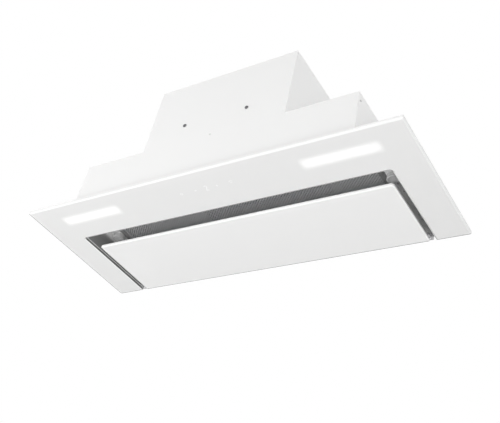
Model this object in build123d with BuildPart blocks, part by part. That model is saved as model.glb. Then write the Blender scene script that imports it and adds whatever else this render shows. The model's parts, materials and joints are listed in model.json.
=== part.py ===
from build123d import *
import os

# Built-in range hood: a white glass plate with a slot of suction round a hinged centre flap, under a
# pressed steel housing with a motor box on top.
# x runs to the right as seen from the front, y to the back, z up. The origin is the middle of the glass
# plate's underside. All sizes are millimetres.

os.makedirs("parts", exist_ok=True)

# ---- driving dimensions ----------------------------------------------------------------------------
PLATE_W = 800.0
PLATE_D = 307.0
GLASS_T = 5.0
BEVEL_W = 3.0
BEVEL_H = 1.0
CORNER_R = 3.5
TAPE_T = 2.0
SHEET = 1.0
CLEAR = 0.3
RUNNING = 0.05
SEAM = 0.02

OPEN_HALF_W = 336.5
OPEN_FRONT = -48.0
OPEN_R = 6.0
FLAP_HALF_W = 324.8
FLAP_FRONT = -12.8
FLAP_R = 6.0

HOUSING_HALF_W = 305.0
BOX_HALF_W = 161.0
COVER_FRONT = -128.5
HOUSING_REAR = 146.0
LOWER_TOP = 117.4
BOX_TOP = 282.0
COVER_SCREW_X = 71.5
COVER_SCREW_Z = 160.5
COVER_HOLE_Z = 116.0
SIDE_HOLE_Y = 120.0
SIDE_HOLE_Z = 101.5
SIDE_HOLE_R = 2.2

LED_X = 270.0
LED_Y = -104.0
LED_L = 138.0
LED_W = 20.0
TOUCH_Y = -104.0
TOUCH_L = 150.0
TOUCH_W = 24.0

TRAY_CEILING = 46.0
TRAY_BEND = 13.0
TRAY_R = 14.0
TRAY_REAR = 145.0

FILTER_HALF_W = 297.5
FILTER_FRONT = -27.0
FILTER_REAR = 130.0
FILTER_BOTTOM = 46.4
FILTER_T = 9.0
FILTER_RAIL = 10.0
MESH_COLUMNS = 36
MESH_ROWS = 8
LATCH_X = 120.0
LATCH_TRAVEL = 6.0

CATCH_X = 311.0
CATCH_Y = 16.0
CATCH_R = 13.0
CATCH_FACE_Z = 36.0

HINGE_Y = 149.0
HINGE_Z = 3.4
HINGE_PIN_R = 1.5

FAN_Y = -9.0
FAN_Z = 166.0
IMPELLER_R = 75.0
IMPELLER_HALF_W = 48.0
BLADES = 36
SCROLL_Y = -5.0
SCROLL_Z = 170.0
SCROLL_R = 98.0
SCROLL_HALF_W = 55.0
DUCT_D = 90.0
INLET_R = 60.0
MOTOR_R = 44.0
MOTOR_FRONT_X = -6.0
MOTOR_L = 68.0
SHAFT_R = 4.0

COLLAR_Y = SCROLL_Y + SCROLL_R - DUCT_D / 2
COLLAR_R = 74.5
COLLAR_T = 1.2
COLLAR_H = 47.0
DAMPER_Z = 300.0
DAMPER_R = 71.5
DAMPER_PIN_R = 2.0

HANG_X = 140.0
HANG_Y = 9.0
HANG_SPACING_Y = 240.0
HANG_R = 3.25

# ---- heights and middles worked out from them ------------------------------------------------------
REAR = PLATE_D / 2
CARRIER_TOP = GLASS_T + TAPE_T + SHEET
TRAY_TOP = TRAY_CEILING + SHEET
HOUSING_FRONT = COVER_FRONT + SHEET
BOX_WALL_TOP = BOX_TOP - 1.6
FILTER_MID_Y = (FILTER_FRONT + FILTER_REAR) / 2
FILTER_D = FILTER_REAR - FILTER_FRONT
MESH_BOTTOM = FILTER_BOTTOM + 5.2
MESH_T = 2.0
BOARD_T = 1.6
SIDES = {"left": -1, "right": 1}

# ---- fasteners: shank radius, head radius and head height ------------------------------------------
SMALL_SCREW_R = 1.6
SMALL_HEAD_R = 3.0
SMALL_HEAD_H = 1.8
TOP_SCREW_R = 1.9
TOP_HEAD_R = 3.6
TOP_HEAD_H = 2.2
RIVET_R = 1.6
RIVET_HEAD_R = 2.6
RIVET_HEAD_H = 1.0
PLATE_SCREW_X = 345.0
BRACKET_SCREW_X = 343.0
BRACKET_SCREW_Y = 147.2
FLANGE_SCREW_X = 311.0
PLATE_SCREWS = [(sx * PLATE_SCREW_X, y) for sx in (-1, 1) for y in (-57, 45, 110)]
FLANGE_SCREWS = [(sx * FLANGE_SCREW_X, y) for sx in (-1, 1) for y in (-22, 60, 128)]


def slab(x0, x1, y0, y1, z0, z1, mode=Mode.ADD):
    """A plain block between two corners, joined to or cut from the part that is being built."""
    with Locations(((x0 + x1) / 2, (y0 + y1) / 2, (z0 + z1) / 2)):
        Box(abs(x1 - x0), y1 - y0, z1 - z0, mode=mode)


def seam_x(x, y0, y1, z0, z1):
    """Divides the sheet that is being built by a seam square to x, which ends at x on the far side."""
    slab(x - SEAM if x > 0 else x + SEAM, x, y0, y1, z0, z1, Mode.SUBTRACT)


def seam_y(y, x0, x1, z0, z1):
    """Divides the sheet that is being built by a seam square to y."""
    slab(x0, x1, y - SEAM, y, z0, z1, Mode.SUBTRACT)


def seam_z(z, x0, x1, y0, y1):
    """Divides the sheet that is being built by a level seam under z."""
    slab(x0, x1, y0, y1, z - SEAM, z, Mode.SUBTRACT)


def u_outline(inset):
    """The plate's U shape, with every edge drawn into the material by inset."""
    half_open = OPEN_HALF_W + inset
    front = OPEN_FRONT - inset
    Rectangle(PLATE_W - 2 * inset, PLATE_D - 2 * inset)
    with Locations((0, (front + REAR) / 2)):
        Rectangle(2 * half_open, REAR - front, mode=Mode.SUBTRACT)


def windows(grow):
    """The two light windows and the touch key window, each grown by grow on every side."""
    with Locations((-LED_X, LED_Y), (LED_X, LED_Y)):
        Rectangle(LED_L + 2 * grow, LED_W + 2 * grow, mode=Mode.SUBTRACT)
    with Locations((0, TOUCH_Y)):
        Rectangle(TOUCH_L + 2 * grow, TOUCH_W + 2 * grow, mode=Mode.SUBTRACT)


# ---- glass plate with its U-shaped opening ---------------------------------------------------------
with BuildPart() as glass_frame:
    with BuildSketch() as plate_outline:
        u_outline(0)
        inner = plate_outline.vertices().filter_by_position(Axis.Y, OPEN_FRONT - 1, OPEN_FRONT + 1)
        fillet(inner, OPEN_R)
        outer = plate_outline.vertices().filter_by(lambda v: abs(v.X) > PLATE_W / 2 - 1)
        fillet(outer, CORNER_R)
    extrude(amount=GLASS_T)
    underside = glass_frame.faces().sort_by(Axis.Z)[0]
    chamfer(underside.edges(), length=BEVEL_W, length2=BEVEL_H, reference=underside)
glass_frame.part.label = "glass_frame"
export_step(glass_frame.part, "parts/glass_frame.step")

# ---- foam bonding tape between the glass and the steel carrier -------------------------------------
CARRIER_INSET = 1.2
TAPE_INSET = CARRIER_INSET + SHEET + CLEAR
with BuildPart() as bonding_tape:
    with BuildSketch(Plane.XY.offset(GLASS_T)):
        u_outline(TAPE_INSET)
        windows(1.5)
    extrude(amount=TAPE_T)
bonding_tape.part.label = "bonding_tape"
export_step(bonding_tape.part, "parts/bonding_tape.step")

# ---- folded steel carrier: a flat web with a lip down to the glass ---------------------------------
TRAY_FLANGE_X = OPEN_HALF_W + SHEET + 15
TRAY_FLANGE_FRONT = OPEN_FRONT - 16
with BuildPart() as carrier_frame:
    with BuildSketch(Plane.XY.offset(GLASS_T)):
        u_outline(CARRIER_INSET)
        windows(1)
    extrude(amount=TAPE_T + SHEET)
    with BuildSketch(Plane.XY.offset(GLASS_T)):
        u_outline(CARRIER_INSET + SHEET)
    extrude(amount=TAPE_T, mode=Mode.SUBTRACT)
    with Locations(*[(x, y, CARRIER_TOP) for x, y in PLATE_SCREWS]):
        Hole(SMALL_SCREW_R)
    with Locations(*[(sx * BRACKET_SCREW_X, BRACKET_SCREW_Y, CARRIER_TOP) for sx in (-1, 1)]):
        Hole(SMALL_SCREW_R)
carrier_frame.part.label = "carrier_frame"
export_step(carrier_frame.part, "parts/carrier_frame.step")


# ---- pressed intake tray: the recess behind the flap -----------------------------------------------
def tray_form(grow):
    """The recess as a block: square at the back, rounded at the front corners and along the top."""
    half_w = OPEN_HALF_W + SHEET + grow
    front = OPEN_FRONT - SHEET - grow
    with BuildPart() as form:
        slab(-half_w, half_w, front, TRAY_REAR + grow, CARRIER_TOP, TRAY_CEILING + grow)
        upright = form.edges().filter_by(Axis.Z).group_by(Axis.Y)[0]
        fillet(upright, TRAY_R + grow)
        rim = form.faces().sort_by(Axis.Z)[-1].edges()
        back = rim.sort_by(Axis.Y)[-1]
        fillet([e for e in rim if e != back], TRAY_BEND + grow)
    return form.part


recess_block = tray_form(0)
tray_block = tray_form(SHEET)
flange_room = tray_form(SHEET + SEAM)
TRAY_CORNER_X = OPEN_HALF_W + SHEET - TRAY_R
TRAY_CORNER_Y = OPEN_FRONT - SHEET + TRAY_R
TRAY_BEND_Z = TRAY_CEILING - TRAY_BEND
TRAY_HALF_BEND_Z = TRAY_BEND_Z + 0.7 * TRAY_BEND
TRAY_OUTER_FRONT = OPEN_FRONT - 2 * SHEET
FILTER_HOLE_GAP = 1.5
FILTER_HOLE_R = 3.0
BRACKET_FRONT = 143.0
BRACKET_REAR = 151.5
BRACKET_ROOM_X = FLAP_HALF_W - 1.0
BRACKET_T = 2.0
with BuildPart() as intake_tray:
    with BuildSketch(Plane.XY.offset(CARRIER_TOP)):
        with Locations((0, (TRAY_FLANGE_FRONT + TRAY_REAR + SHEET) / 2)):
            Rectangle(2 * TRAY_FLANGE_X, TRAY_REAR + SHEET - TRAY_FLANGE_FRONT)
    extrude(amount=SHEET)
    add(flange_room, mode=Mode.SUBTRACT)
    add(tray_block)
    add(recess_block, mode=Mode.SUBTRACT)
    with BuildSketch(Plane.XY.offset(TRAY_CEILING)):
        with Locations((0, FILTER_MID_Y)):
            RectangleRounded(
                2 * (FILTER_HALF_W + FILTER_HOLE_GAP), FILTER_D + 2 * FILTER_HOLE_GAP, FILTER_HOLE_R
            )
    extrude(amount=SHEET, mode=Mode.SUBTRACT)
    for sx in (-1, 1):
        slab(
            sx * BRACKET_ROOM_X, sx * (TRAY_FLANGE_X + 1), BRACKET_FRONT - 1, BRACKET_REAR + 1,
            CARRIER_TOP, CARRIER_TOP + BRACKET_T + CLEAR, Mode.SUBTRACT,
        )
    with Locations(*[(x, y, CARRIER_TOP + SHEET) for x, y in PLATE_SCREWS]):
        Hole(SMALL_SCREW_R, depth=2 * SHEET)
    with Locations(*[(x, y, TRAY_TOP) for x, y in FLANGE_SCREWS]):
        Hole(SMALL_SCREW_R, depth=2 * SHEET)
    # the tray is welded from a flange, walls, bends and ceiling strips
    reach = TRAY_FLANGE_X + 1
    below = CARRIER_TOP - 1
    above = TRAY_TOP + 1
    seam_y(TRAY_REAR, -reach, reach, below, above)
    seam_y(TRAY_CORNER_Y, -reach, reach, below, above)
    for z in (TRAY_BEND_Z, TRAY_HALF_BEND_Z):
        seam_z(z, -reach, reach, TRAY_FLANGE_FRONT, TRAY_REAR - SEAM)
    for sx in (-1, 1):
        seam_x(sx * TRAY_CORNER_X, TRAY_OUTER_FRONT - SEAM / 2, TRAY_REAR - SEAM, below, above)
        seam_y(TRAY_OUTER_FRONT, sx * (TRAY_CORNER_X - SEAM), sx * reach, below, TRAY_BEND_Z)
        hole_corner = sx * (FILTER_HALF_W + FILTER_HOLE_GAP - FILTER_HOLE_R)
        for y in (FILTER_FRONT - FILTER_HOLE_GAP, FILTER_REAR + FILTER_HOLE_GAP + SEAM):
            seam_y(y, hole_corner, sx * TRAY_CORNER_X, TRAY_CEILING - 1, above)
intake_tray.part.label = "intake_tray"
export_step(intake_tray.part, "parts/intake_tray.step")

# ---- grease filter: aluminium frame with pockets for its two latches -------------------------------
LATCH_HALF_W = 9.0
LATCH_BOTTOM = 48.0
LATCH_T = 3.0
LATCH_TIP = -34.0
LATCH_TAIL = -15.0
LATCH_TAB_Y = -21.0
LATCH_TAB_T = 3.0
LATCH_TAB_HALF_W = 5.0
LATCH_TAB_H = 10.0
POCKET_REAR = -4.5
PAD_REAR = -3.0
PAD_HALF_W = 14.0
TONGUE_X = 200.0
TONGUE_HALF_W = 20.0
TONGUE_L = 8.0
TONGUE_T = 1.5
with BuildPart() as filter_frame:
    with BuildSketch(Plane.XY.offset(FILTER_BOTTOM)):
        with Locations((0, FILTER_MID_Y)):
            RectangleRounded(2 * FILTER_HALF_W, FILTER_D, 2)
            Rectangle(
                2 * (FILTER_HALF_W - FILTER_RAIL), FILTER_D - 2 * FILTER_RAIL, mode=Mode.SUBTRACT
            )
    extrude(amount=FILTER_T)
    for sx in (-1, 1):
        x = sx * LATCH_X
        slab(
            x - PAD_HALF_W, x + PAD_HALF_W,
            FILTER_FRONT + FILTER_RAIL, PAD_REAR, FILTER_BOTTOM, MESH_BOTTOM,
        )
        slab(
            x - LATCH_HALF_W - CLEAR, x + LATCH_HALF_W + CLEAR, FILTER_FRONT - 1, POCKET_REAR,
            LATCH_BOTTOM - CLEAR, LATCH_BOTTOM + LATCH_T + CLEAR, Mode.SUBTRACT,
        )
        slab(
            x - LATCH_TAB_HALF_W - CLEAR, x + LATCH_TAB_HALF_W + CLEAR,
            LATCH_TAB_Y - CLEAR, LATCH_TAB_Y + LATCH_TAB_T + LATCH_TRAVEL + CLEAR,
            FILTER_BOTTOM - 1, LATCH_BOTTOM, Mode.SUBTRACT,
        )
        tongue = sx * TONGUE_X
        slab(
            tongue - TONGUE_HALF_W, tongue + TONGUE_HALF_W,
            FILTER_REAR, FILTER_REAR + TONGUE_L, TRAY_TOP, TRAY_TOP + TONGUE_T,
        )
    with BuildSketch(Plane.XY.offset(MESH_BOTTOM)):
        with Locations((0, FILTER_MID_Y)):
            Rectangle(2 * FILTER_HALF_W - FILTER_RAIL, FILTER_D - FILTER_RAIL)
    extrude(amount=MESH_T, mode=Mode.SUBTRACT)
filter_frame.part.label = "filter_frame"
export_step(filter_frame.part, "parts/filter_frame.step")

# ---- filter mesh: one expanded sheet with diamond gaps ---------------------------------------------
MESH_W = 2 * FILTER_HALF_W - FILTER_RAIL
MESH_D = FILTER_D - FILTER_RAIL
MESH_BORDER = 7.0
MESH_STRAND = 2.2
CELL_X = (MESH_W - 2 * MESH_BORDER) / MESH_COLUMNS
CELL_Y = (MESH_D - 2 * MESH_BORDER) / MESH_ROWS
with BuildPart() as filter_mesh:
    with BuildSketch(Plane.XY.offset(MESH_BOTTOM)):
        with Locations((0, FILTER_MID_Y)):
            Rectangle(MESH_W, MESH_D)
            with GridLocations(CELL_X, CELL_Y, MESH_COLUMNS, MESH_ROWS):
                Polygon(
                    (-CELL_X / 2 + MESH_STRAND / 2, 0),
                    (0, -CELL_Y / 2 + MESH_STRAND / 2),
                    (CELL_X / 2 - MESH_STRAND / 2, 0),
                    (0, CELL_Y / 2 - MESH_STRAND / 2),
                    mode=Mode.SUBTRACT,
                )
    extrude(amount=MESH_T)
filter_mesh.part.label = "filter_mesh"
export_step(filter_mesh.part, "parts/filter_mesh.step")

# ---- filter latches: a sprung bolt with a finger tab -----------------------------------------------
for name, sx in SIDES.items():
    x = sx * LATCH_X
    with BuildPart() as filter_latch:
        slab(
            x - LATCH_HALF_W, x + LATCH_HALF_W, LATCH_TIP, LATCH_TAIL,
            LATCH_BOTTOM, LATCH_BOTTOM + LATCH_T,
        )
        nose = filter_latch.edges().filter_by(Axis.X).group_by(Axis.Y)[0].sort_by(Axis.Z)[-1]
        chamfer(nose, 1.5)
        slab(
            x - LATCH_TAB_HALF_W, x + LATCH_TAB_HALF_W, LATCH_TAB_Y, LATCH_TAB_Y + LATCH_TAB_T,
            LATCH_BOTTOM - LATCH_TAB_H, LATCH_BOTTOM,
        )
        fillet(filter_latch.edges().filter_by(Axis.X).group_by(Axis.Z)[0], 0.9)
    filter_latch.part.label = f"filter_latch_{name}"
    export_step(filter_latch.part, f"parts/filter_latch_{name}.step")

SPRING_R = 1.3
with BuildPart() as latch_springs:
    for sx in (-1, 1):
        middle = (sx * LATCH_X, LATCH_TAIL, LATCH_BOTTOM + LATCH_T / 2)
        with BuildSketch(Plane(origin=middle, x_dir=(1, 0, 0), z_dir=(0, 1, 0))):
            Circle(SPRING_R)
            Circle(SPRING_R - 0.6, mode=Mode.SUBTRACT)
        extrude(amount=POCKET_REAR - LATCH_TAIL)
latch_springs.part.label = "latch_springs"
export_step(latch_springs.part, "parts/latch_springs.step")

# ---- flap: glass, tape and steel backing tray ------------------------------------------------------
with BuildPart() as flap_glass:
    with BuildSketch() as flap_outline:
        with Locations((0, (FLAP_FRONT + REAR) / 2)):
            Rectangle(2 * FLAP_HALF_W, REAR - FLAP_FRONT)
        fillet(flap_outline.vertices().group_by(Axis.Y)[0], FLAP_R)
        fillet(flap_outline.vertices().group_by(Axis.Y)[-1], CORNER_R)
    extrude(amount=GLASS_T)
    underside = flap_glass.faces().sort_by(Axis.Z)[0]
    chamfer(underside.edges(), length=BEVEL_W, length2=BEVEL_H, reference=underside)
flap_glass.part.label = "flap_glass"
export_step(flap_glass.part, "parts/flap_glass.step")

BACKING_HALF_W = 316.0
BACKING_FRONT = 2.0
BACKING_REAR = 141.0
BACKING_BOTTOM = GLASS_T + SHEET
BACKING_TOP = 12.0
FOOT_INNER_X = 296.0
with BuildPart() as flap_tape:
    with BuildSketch(Plane.XY.offset(GLASS_T)):
        with Locations((0, (BACKING_FRONT + BACKING_REAR) / 2)):
            Rectangle(2 * BACKING_HALF_W - 6, BACKING_REAR - BACKING_FRONT - 6)
    extrude(amount=SHEET)
flap_tape.part.label = "flap_tape"
export_step(flap_tape.part, "parts/flap_tape.step")

RIVET_X = 304.0
FOOT_FRONT = 116.0
FOOT_REAR = 144.0
STRIKE_RIVET_Y = 34.0
RIVETS = [(sx * RIVET_X, FOOT_FRONT + y) for sx in (-1, 1) for y in (5, 17)]
STRIKE_RIVETS = [(sx * CATCH_X, STRIKE_RIVET_Y) for sx in (-1, 1)]
with BuildPart() as flap_tray:
    slab(-BACKING_HALF_W, BACKING_HALF_W, BACKING_FRONT, BACKING_REAR, BACKING_BOTTOM, BACKING_TOP)
    inside = BACKING_HALF_W - SHEET
    slab(
        -inside, inside, BACKING_FRONT + SHEET, BACKING_REAR - SHEET,
        BACKING_BOTTOM + SHEET, BACKING_TOP + 1, Mode.SUBTRACT,
    )
    for sx in (-1, 1):
        slab(
            sx * (FOOT_INNER_X - 2), sx * (BACKING_HALF_W + 1), FOOT_FRONT - 1, BACKING_REAR + 1,
            BACKING_BOTTOM + SHEET, BACKING_TOP + 1, Mode.SUBTRACT,
        )
    with Locations(*[(x, y, BACKING_TOP) for x, y in RIVETS + STRIKE_RIVETS]):
        Hole(RIVET_R)
flap_tray.part.label = "flap_tray"
export_step(flap_tray.part, "parts/flap_tray.step")

# ---- flap hinges: arm on the flap, bracket on the carrier, pin between them ------------------------
ARM_INNER_X = FLAP_HALF_W + 0.4
ARM_T = 3.0
ARM_FRONT = 138.0
BRACKET_INNER_X = ARM_INNER_X + ARM_T + 0.4
BRACKET_PLATE_T = 3.5
FOOT_BOTTOM = BACKING_BOTTOM + SHEET
FOOT_T = 1.5
EAR_R = 3.2
EAR_TOP = CARRIER_TOP - CLEAR
for name, sx in SIDES.items():
    with BuildPart() as hinge_arm:
        slab(
            sx * FOOT_INNER_X, sx * (FLAP_HALF_W - 1), FOOT_FRONT, FOOT_REAR,
            FOOT_BOTTOM, FOOT_BOTTOM + FOOT_T,
        )
        slab(
            sx * (FLAP_HALF_W - 5), sx * (ARM_INNER_X + ARM_T), ARM_FRONT, FOOT_REAR,
            FOOT_BOTTOM, FOOT_BOTTOM + FOOT_T,
        )
        slab(sx * ARM_INNER_X, sx * (ARM_INNER_X + ARM_T), ARM_FRONT, HINGE_Y, HINGE_Z, EAR_TOP)
        ear_plane = Plane(
            origin=(sx * ARM_INNER_X, HINGE_Y, HINGE_Z), x_dir=(0, 1, 0), z_dir=(1, 0, 0)
        )
        with BuildSketch(ear_plane):
            Circle(EAR_R)
        extrude(amount=sx * ARM_T)
        with BuildSketch(ear_plane):
            Circle(HINGE_PIN_R + RUNNING)
        extrude(amount=sx * (ARM_T + 1), mode=Mode.SUBTRACT)
        with Locations(*[(x, y, FOOT_BOTTOM + FOOT_T) for x, y in RIVETS if x * sx > 0]):
            Hole(RIVET_R)
    hinge_arm.part.label = f"hinge_arm_{name}"
    export_step(hinge_arm.part, f"parts/hinge_arm_{name}.step")

    with BuildPart() as hinge_bracket:
        slab(
            sx * BRACKET_INNER_X, sx * (BRACKET_INNER_X + BRACKET_PLATE_T),
            BRACKET_FRONT, BRACKET_REAR, 1, CARRIER_TOP + BRACKET_T,
        )
        slab(
            sx * BRACKET_INNER_X, sx * TRAY_FLANGE_X,
            BRACKET_FRONT, BRACKET_REAR, CARRIER_TOP, CARRIER_TOP + BRACKET_T,
        )
        with BuildSketch(
            Plane(
                origin=(sx * (BRACKET_INNER_X - 1), HINGE_Y, HINGE_Z),
                x_dir=(0, 1, 0), z_dir=(sx, 0, 0),
            )
        ):
            Circle(HINGE_PIN_R)
        extrude(amount=BRACKET_PLATE_T + 1, mode=Mode.SUBTRACT)
        with Locations((sx * BRACKET_SCREW_X, BRACKET_SCREW_Y, CARRIER_TOP + BRACKET_T)):
            Hole(SMALL_SCREW_R)
    hinge_bracket.part.label = f"hinge_bracket_{name}"
    export_step(hinge_bracket.part, f"parts/hinge_bracket_{name}.step")

with BuildPart() as hinge_pins:
    for sx in (-1, 1):
        with BuildSketch(
            Plane(
                origin=(sx * ARM_INNER_X, HINGE_Y, HINGE_Z),
                x_dir=(0, 1, 0), z_dir=(sx, 0, 0),
            )
        ):
            Circle(HINGE_PIN_R)
        extrude(amount=BRACKET_INNER_X + BRACKET_PLATE_T - ARM_INNER_X)
hinge_pins.part.label = "hinge_pins"
export_step(hinge_pins.part, "parts/hinge_pins.step")


def fastener(x, y, z, head_r, head_h, shank_r, shank_l):
    """A screw or rivet with its head standing on z and its shank going down."""
    with Locations((x, y, z)):
        Cylinder(head_r, head_h, align=(Align.CENTER, Align.CENTER, Align.MIN))
        Cylinder(shank_r, shank_l, align=(Align.CENTER, Align.CENTER, Align.MAX))


STRIKE_T = 1.4
with BuildPart() as flap_rivets:
    for x, y in RIVETS:
        z = FOOT_BOTTOM + FOOT_T
        fastener(x, y, z, RIVET_HEAD_R, RIVET_HEAD_H, RIVET_R, FOOT_T + SHEET)
    for x, y in STRIKE_RIVETS:
        z = FOOT_BOTTOM + STRIKE_T
        fastener(x, y, z, RIVET_HEAD_R, RIVET_HEAD_H, RIVET_R, STRIKE_T + SHEET)
flap_rivets.part.label = "flap_rivets"
export_step(flap_rivets.part, "parts/flap_rivets.step")

# ---- magnet catches in the recess and their steel strikes on the flap ------------------------------
CATCH_BORE_R = 9.5
CATCH_BORE_D = 8.0
MAGNET_SET_BACK = 2.0
STRIKE_HALF_W = 4.0
STRIKE_FRONT = 20.0
STRIKE_STEP = 27.0
STRIKE_REAR = 39.0
for name, sx in SIDES.items():
    with BuildPart() as catch_cup:
        with BuildSketch(Plane.XY.offset(CATCH_FACE_Z)):
            with Locations((sx * CATCH_X, CATCH_Y)):
                Circle(CATCH_R)
        extrude(amount=TRAY_CEILING - CATCH_FACE_Z)
        with BuildSketch(Plane.XY.offset(CATCH_FACE_Z)):
            with Locations((sx * CATCH_X, CATCH_Y)):
                Circle(CATCH_BORE_R)
        extrude(amount=CATCH_BORE_D, mode=Mode.SUBTRACT)
        rim = catch_cup.edges().filter_by(GeomType.CIRCLE).group_by(Axis.Z)[0].sort_by(SortBy.RADIUS)
        fillet(rim[-1], 1.2)
    catch_cup.part.label = f"catch_cup_{name}"
    export_step(catch_cup.part, f"parts/catch_cup_{name}.step")

    strike_x = sx * CATCH_X
    tongue_z = CATCH_FACE_Z - CLEAR - STRIKE_T
    with BuildPart() as strike:
        x0 = strike_x - STRIKE_HALF_W
        x1 = strike_x + STRIKE_HALF_W
        slab(x0, x1, STRIKE_STEP, STRIKE_REAR, FOOT_BOTTOM, FOOT_BOTTOM + STRIKE_T)
        slab(x0, x1, STRIKE_STEP, STRIKE_STEP + STRIKE_T, FOOT_BOTTOM, tongue_z + STRIKE_T)
        slab(x0, x1, STRIKE_FRONT, STRIKE_STEP + STRIKE_T, tongue_z, tongue_z + STRIKE_T)
        with Locations((strike_x, STRIKE_RIVET_Y, FOOT_BOTTOM + STRIKE_T)):
            Hole(RIVET_R, depth=2 * STRIKE_T)
    strike.part.label = f"strike_{name}"
    export_step(strike.part, f"parts/strike_{name}.step")

with BuildPart() as catch_magnets:
    with BuildSketch(Plane.XY.offset(CATCH_FACE_Z + MAGNET_SET_BACK)):
        with Locations((-CATCH_X, CATCH_Y), (CATCH_X, CATCH_Y)):
            Circle(CATCH_BORE_R)
    extrude(amount=CATCH_BORE_D - MAGNET_SET_BACK)
catch_magnets.part.label = "catch_magnets"
export_step(catch_magnets.part, "parts/catch_magnets.step")

# ---- lower housing: open at the front and below, notched round the tray and the lights -------------
LED_HOUSING_W = 28.0
LED_CAP_H = 10.0
SIDE_FLANGE_FRONT = -34.0
FLANGE_W = 12.0
FRONT_STRIP = HOUSING_FRONT + FLANGE_W
REAR_STRIP = HOUSING_REAR - SHEET - FLANGE_W
with BuildPart() as lower_housing:
    slab(
        -HOUSING_HALF_W, HOUSING_HALF_W, HOUSING_FRONT, HOUSING_REAR, CARRIER_TOP, LOWER_TOP
    )
    wall = HOUSING_HALF_W - SHEET
    slab(
        -wall, wall, HOUSING_FRONT - 1, HOUSING_REAR - SHEET,
        CARRIER_TOP, LOWER_TOP - SHEET, Mode.SUBTRACT,
    )
    beyond = HOUSING_HALF_W + 1
    tray_front = OPEN_FRONT - 2 * SHEET - CLEAR
    slab(-beyond, beyond, tray_front, HOUSING_REAR + 1, CARRIER_TOP, TRAY_TOP, Mode.SUBTRACT)
    slab(
        -beyond, beyond, TRAY_FLANGE_FRONT - CLEAR, tray_front,
        CARRIER_TOP, CARRIER_TOP + SHEET, Mode.SUBTRACT,
    )
    slab(
        -beyond, beyond, LED_Y - LED_HOUSING_W / 2 - CLEAR, LED_Y + LED_HOUSING_W / 2 + CLEAR,
        CARRIER_TOP, CARRIER_TOP + LED_CAP_H + CLEAR, Mode.SUBTRACT,
    )
    neck = BOX_HALF_W - SHEET - FLANGE_W
    slab(-neck, neck, FRONT_STRIP, REAR_STRIP, LOWER_TOP - SHEET, LOWER_TOP, Mode.SUBTRACT)
    for sx in (-1, 1):
        slab(
            sx * (HOUSING_HALF_W - SHEET), sx * (HOUSING_HALF_W + FLANGE_W),
            SIDE_FLANGE_FRONT, HOUSING_REAR, TRAY_TOP, TRAY_TOP + SHEET,
        )
    with Locations(*[(x, y, TRAY_TOP + SHEET) for x, y in FLANGE_SCREWS]):
        Hole(SMALL_SCREW_R, depth=2 * SHEET)
    with BuildSketch(Plane.YZ.offset(-beyond)):
        with Locations((-SIDE_HOLE_Y, SIDE_HOLE_Z), (SIDE_HOLE_Y, SIDE_HOLE_Z)):
            Circle(SIDE_HOLE_R)
    extrude(amount=2 * beyond, mode=Mode.SUBTRACT)
    # its panels meet along their folds
    panel_top = LOWER_TOP - SHEET
    seam_z(panel_top, -beyond, beyond, HOUSING_FRONT - 1, HOUSING_REAR + 1)
    for sx in (-1, 1):
        seam_y(
            HOUSING_REAR - SHEET, sx * (HOUSING_HALF_W - 2 * SHEET), sx * HOUSING_HALF_W,
            CARRIER_TOP, panel_top,
        )
        seam_x(
            sx * (HOUSING_HALF_W + SEAM), SIDE_FLANGE_FRONT - 1, HOUSING_REAR + 1,
            TRAY_TOP - 1, TRAY_TOP + 2 * SHEET,
        )
        for y0, y1 in ((HOUSING_FRONT - 1, FRONT_STRIP), (REAR_STRIP, HOUSING_REAR + 1)):
            seam_x(sx * neck, y0, y1, panel_top - SEAM, LOWER_TOP + 1)
lower_housing.part.label = "lower_housing"
export_step(lower_housing.part, "parts/lower_housing.step")

# ---- motor box above it ----------------------------------------------------------------------------
TOP_SCREW_X = BOX_HALF_W - 7
TOP_SCREWS = [(sx * TOP_SCREW_X, y) for sx in (-1, 1) for y in (-100, 15, 130)]
with BuildPart() as upper_housing:
    slab(-BOX_HALF_W, BOX_HALF_W, HOUSING_FRONT, HOUSING_REAR, LOWER_TOP, BOX_WALL_TOP)
    wall = BOX_HALF_W - SHEET
    slab(
        -wall, wall, HOUSING_FRONT - 1, HOUSING_REAR - SHEET,
        LOWER_TOP + SHEET, BOX_WALL_TOP - SHEET, Mode.SUBTRACT,
    )
    slab(-neck, neck, FRONT_STRIP, REAR_STRIP, LOWER_TOP, BOX_WALL_TOP, Mode.SUBTRACT)
    with Locations(*[(x, y, BOX_WALL_TOP) for x, y in TOP_SCREWS]):
        Hole(TOP_SCREW_R, depth=2 * SHEET)
upper_housing.part.label = "upper_housing"
export_step(upper_housing.part, "parts/upper_housing.step")

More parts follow.
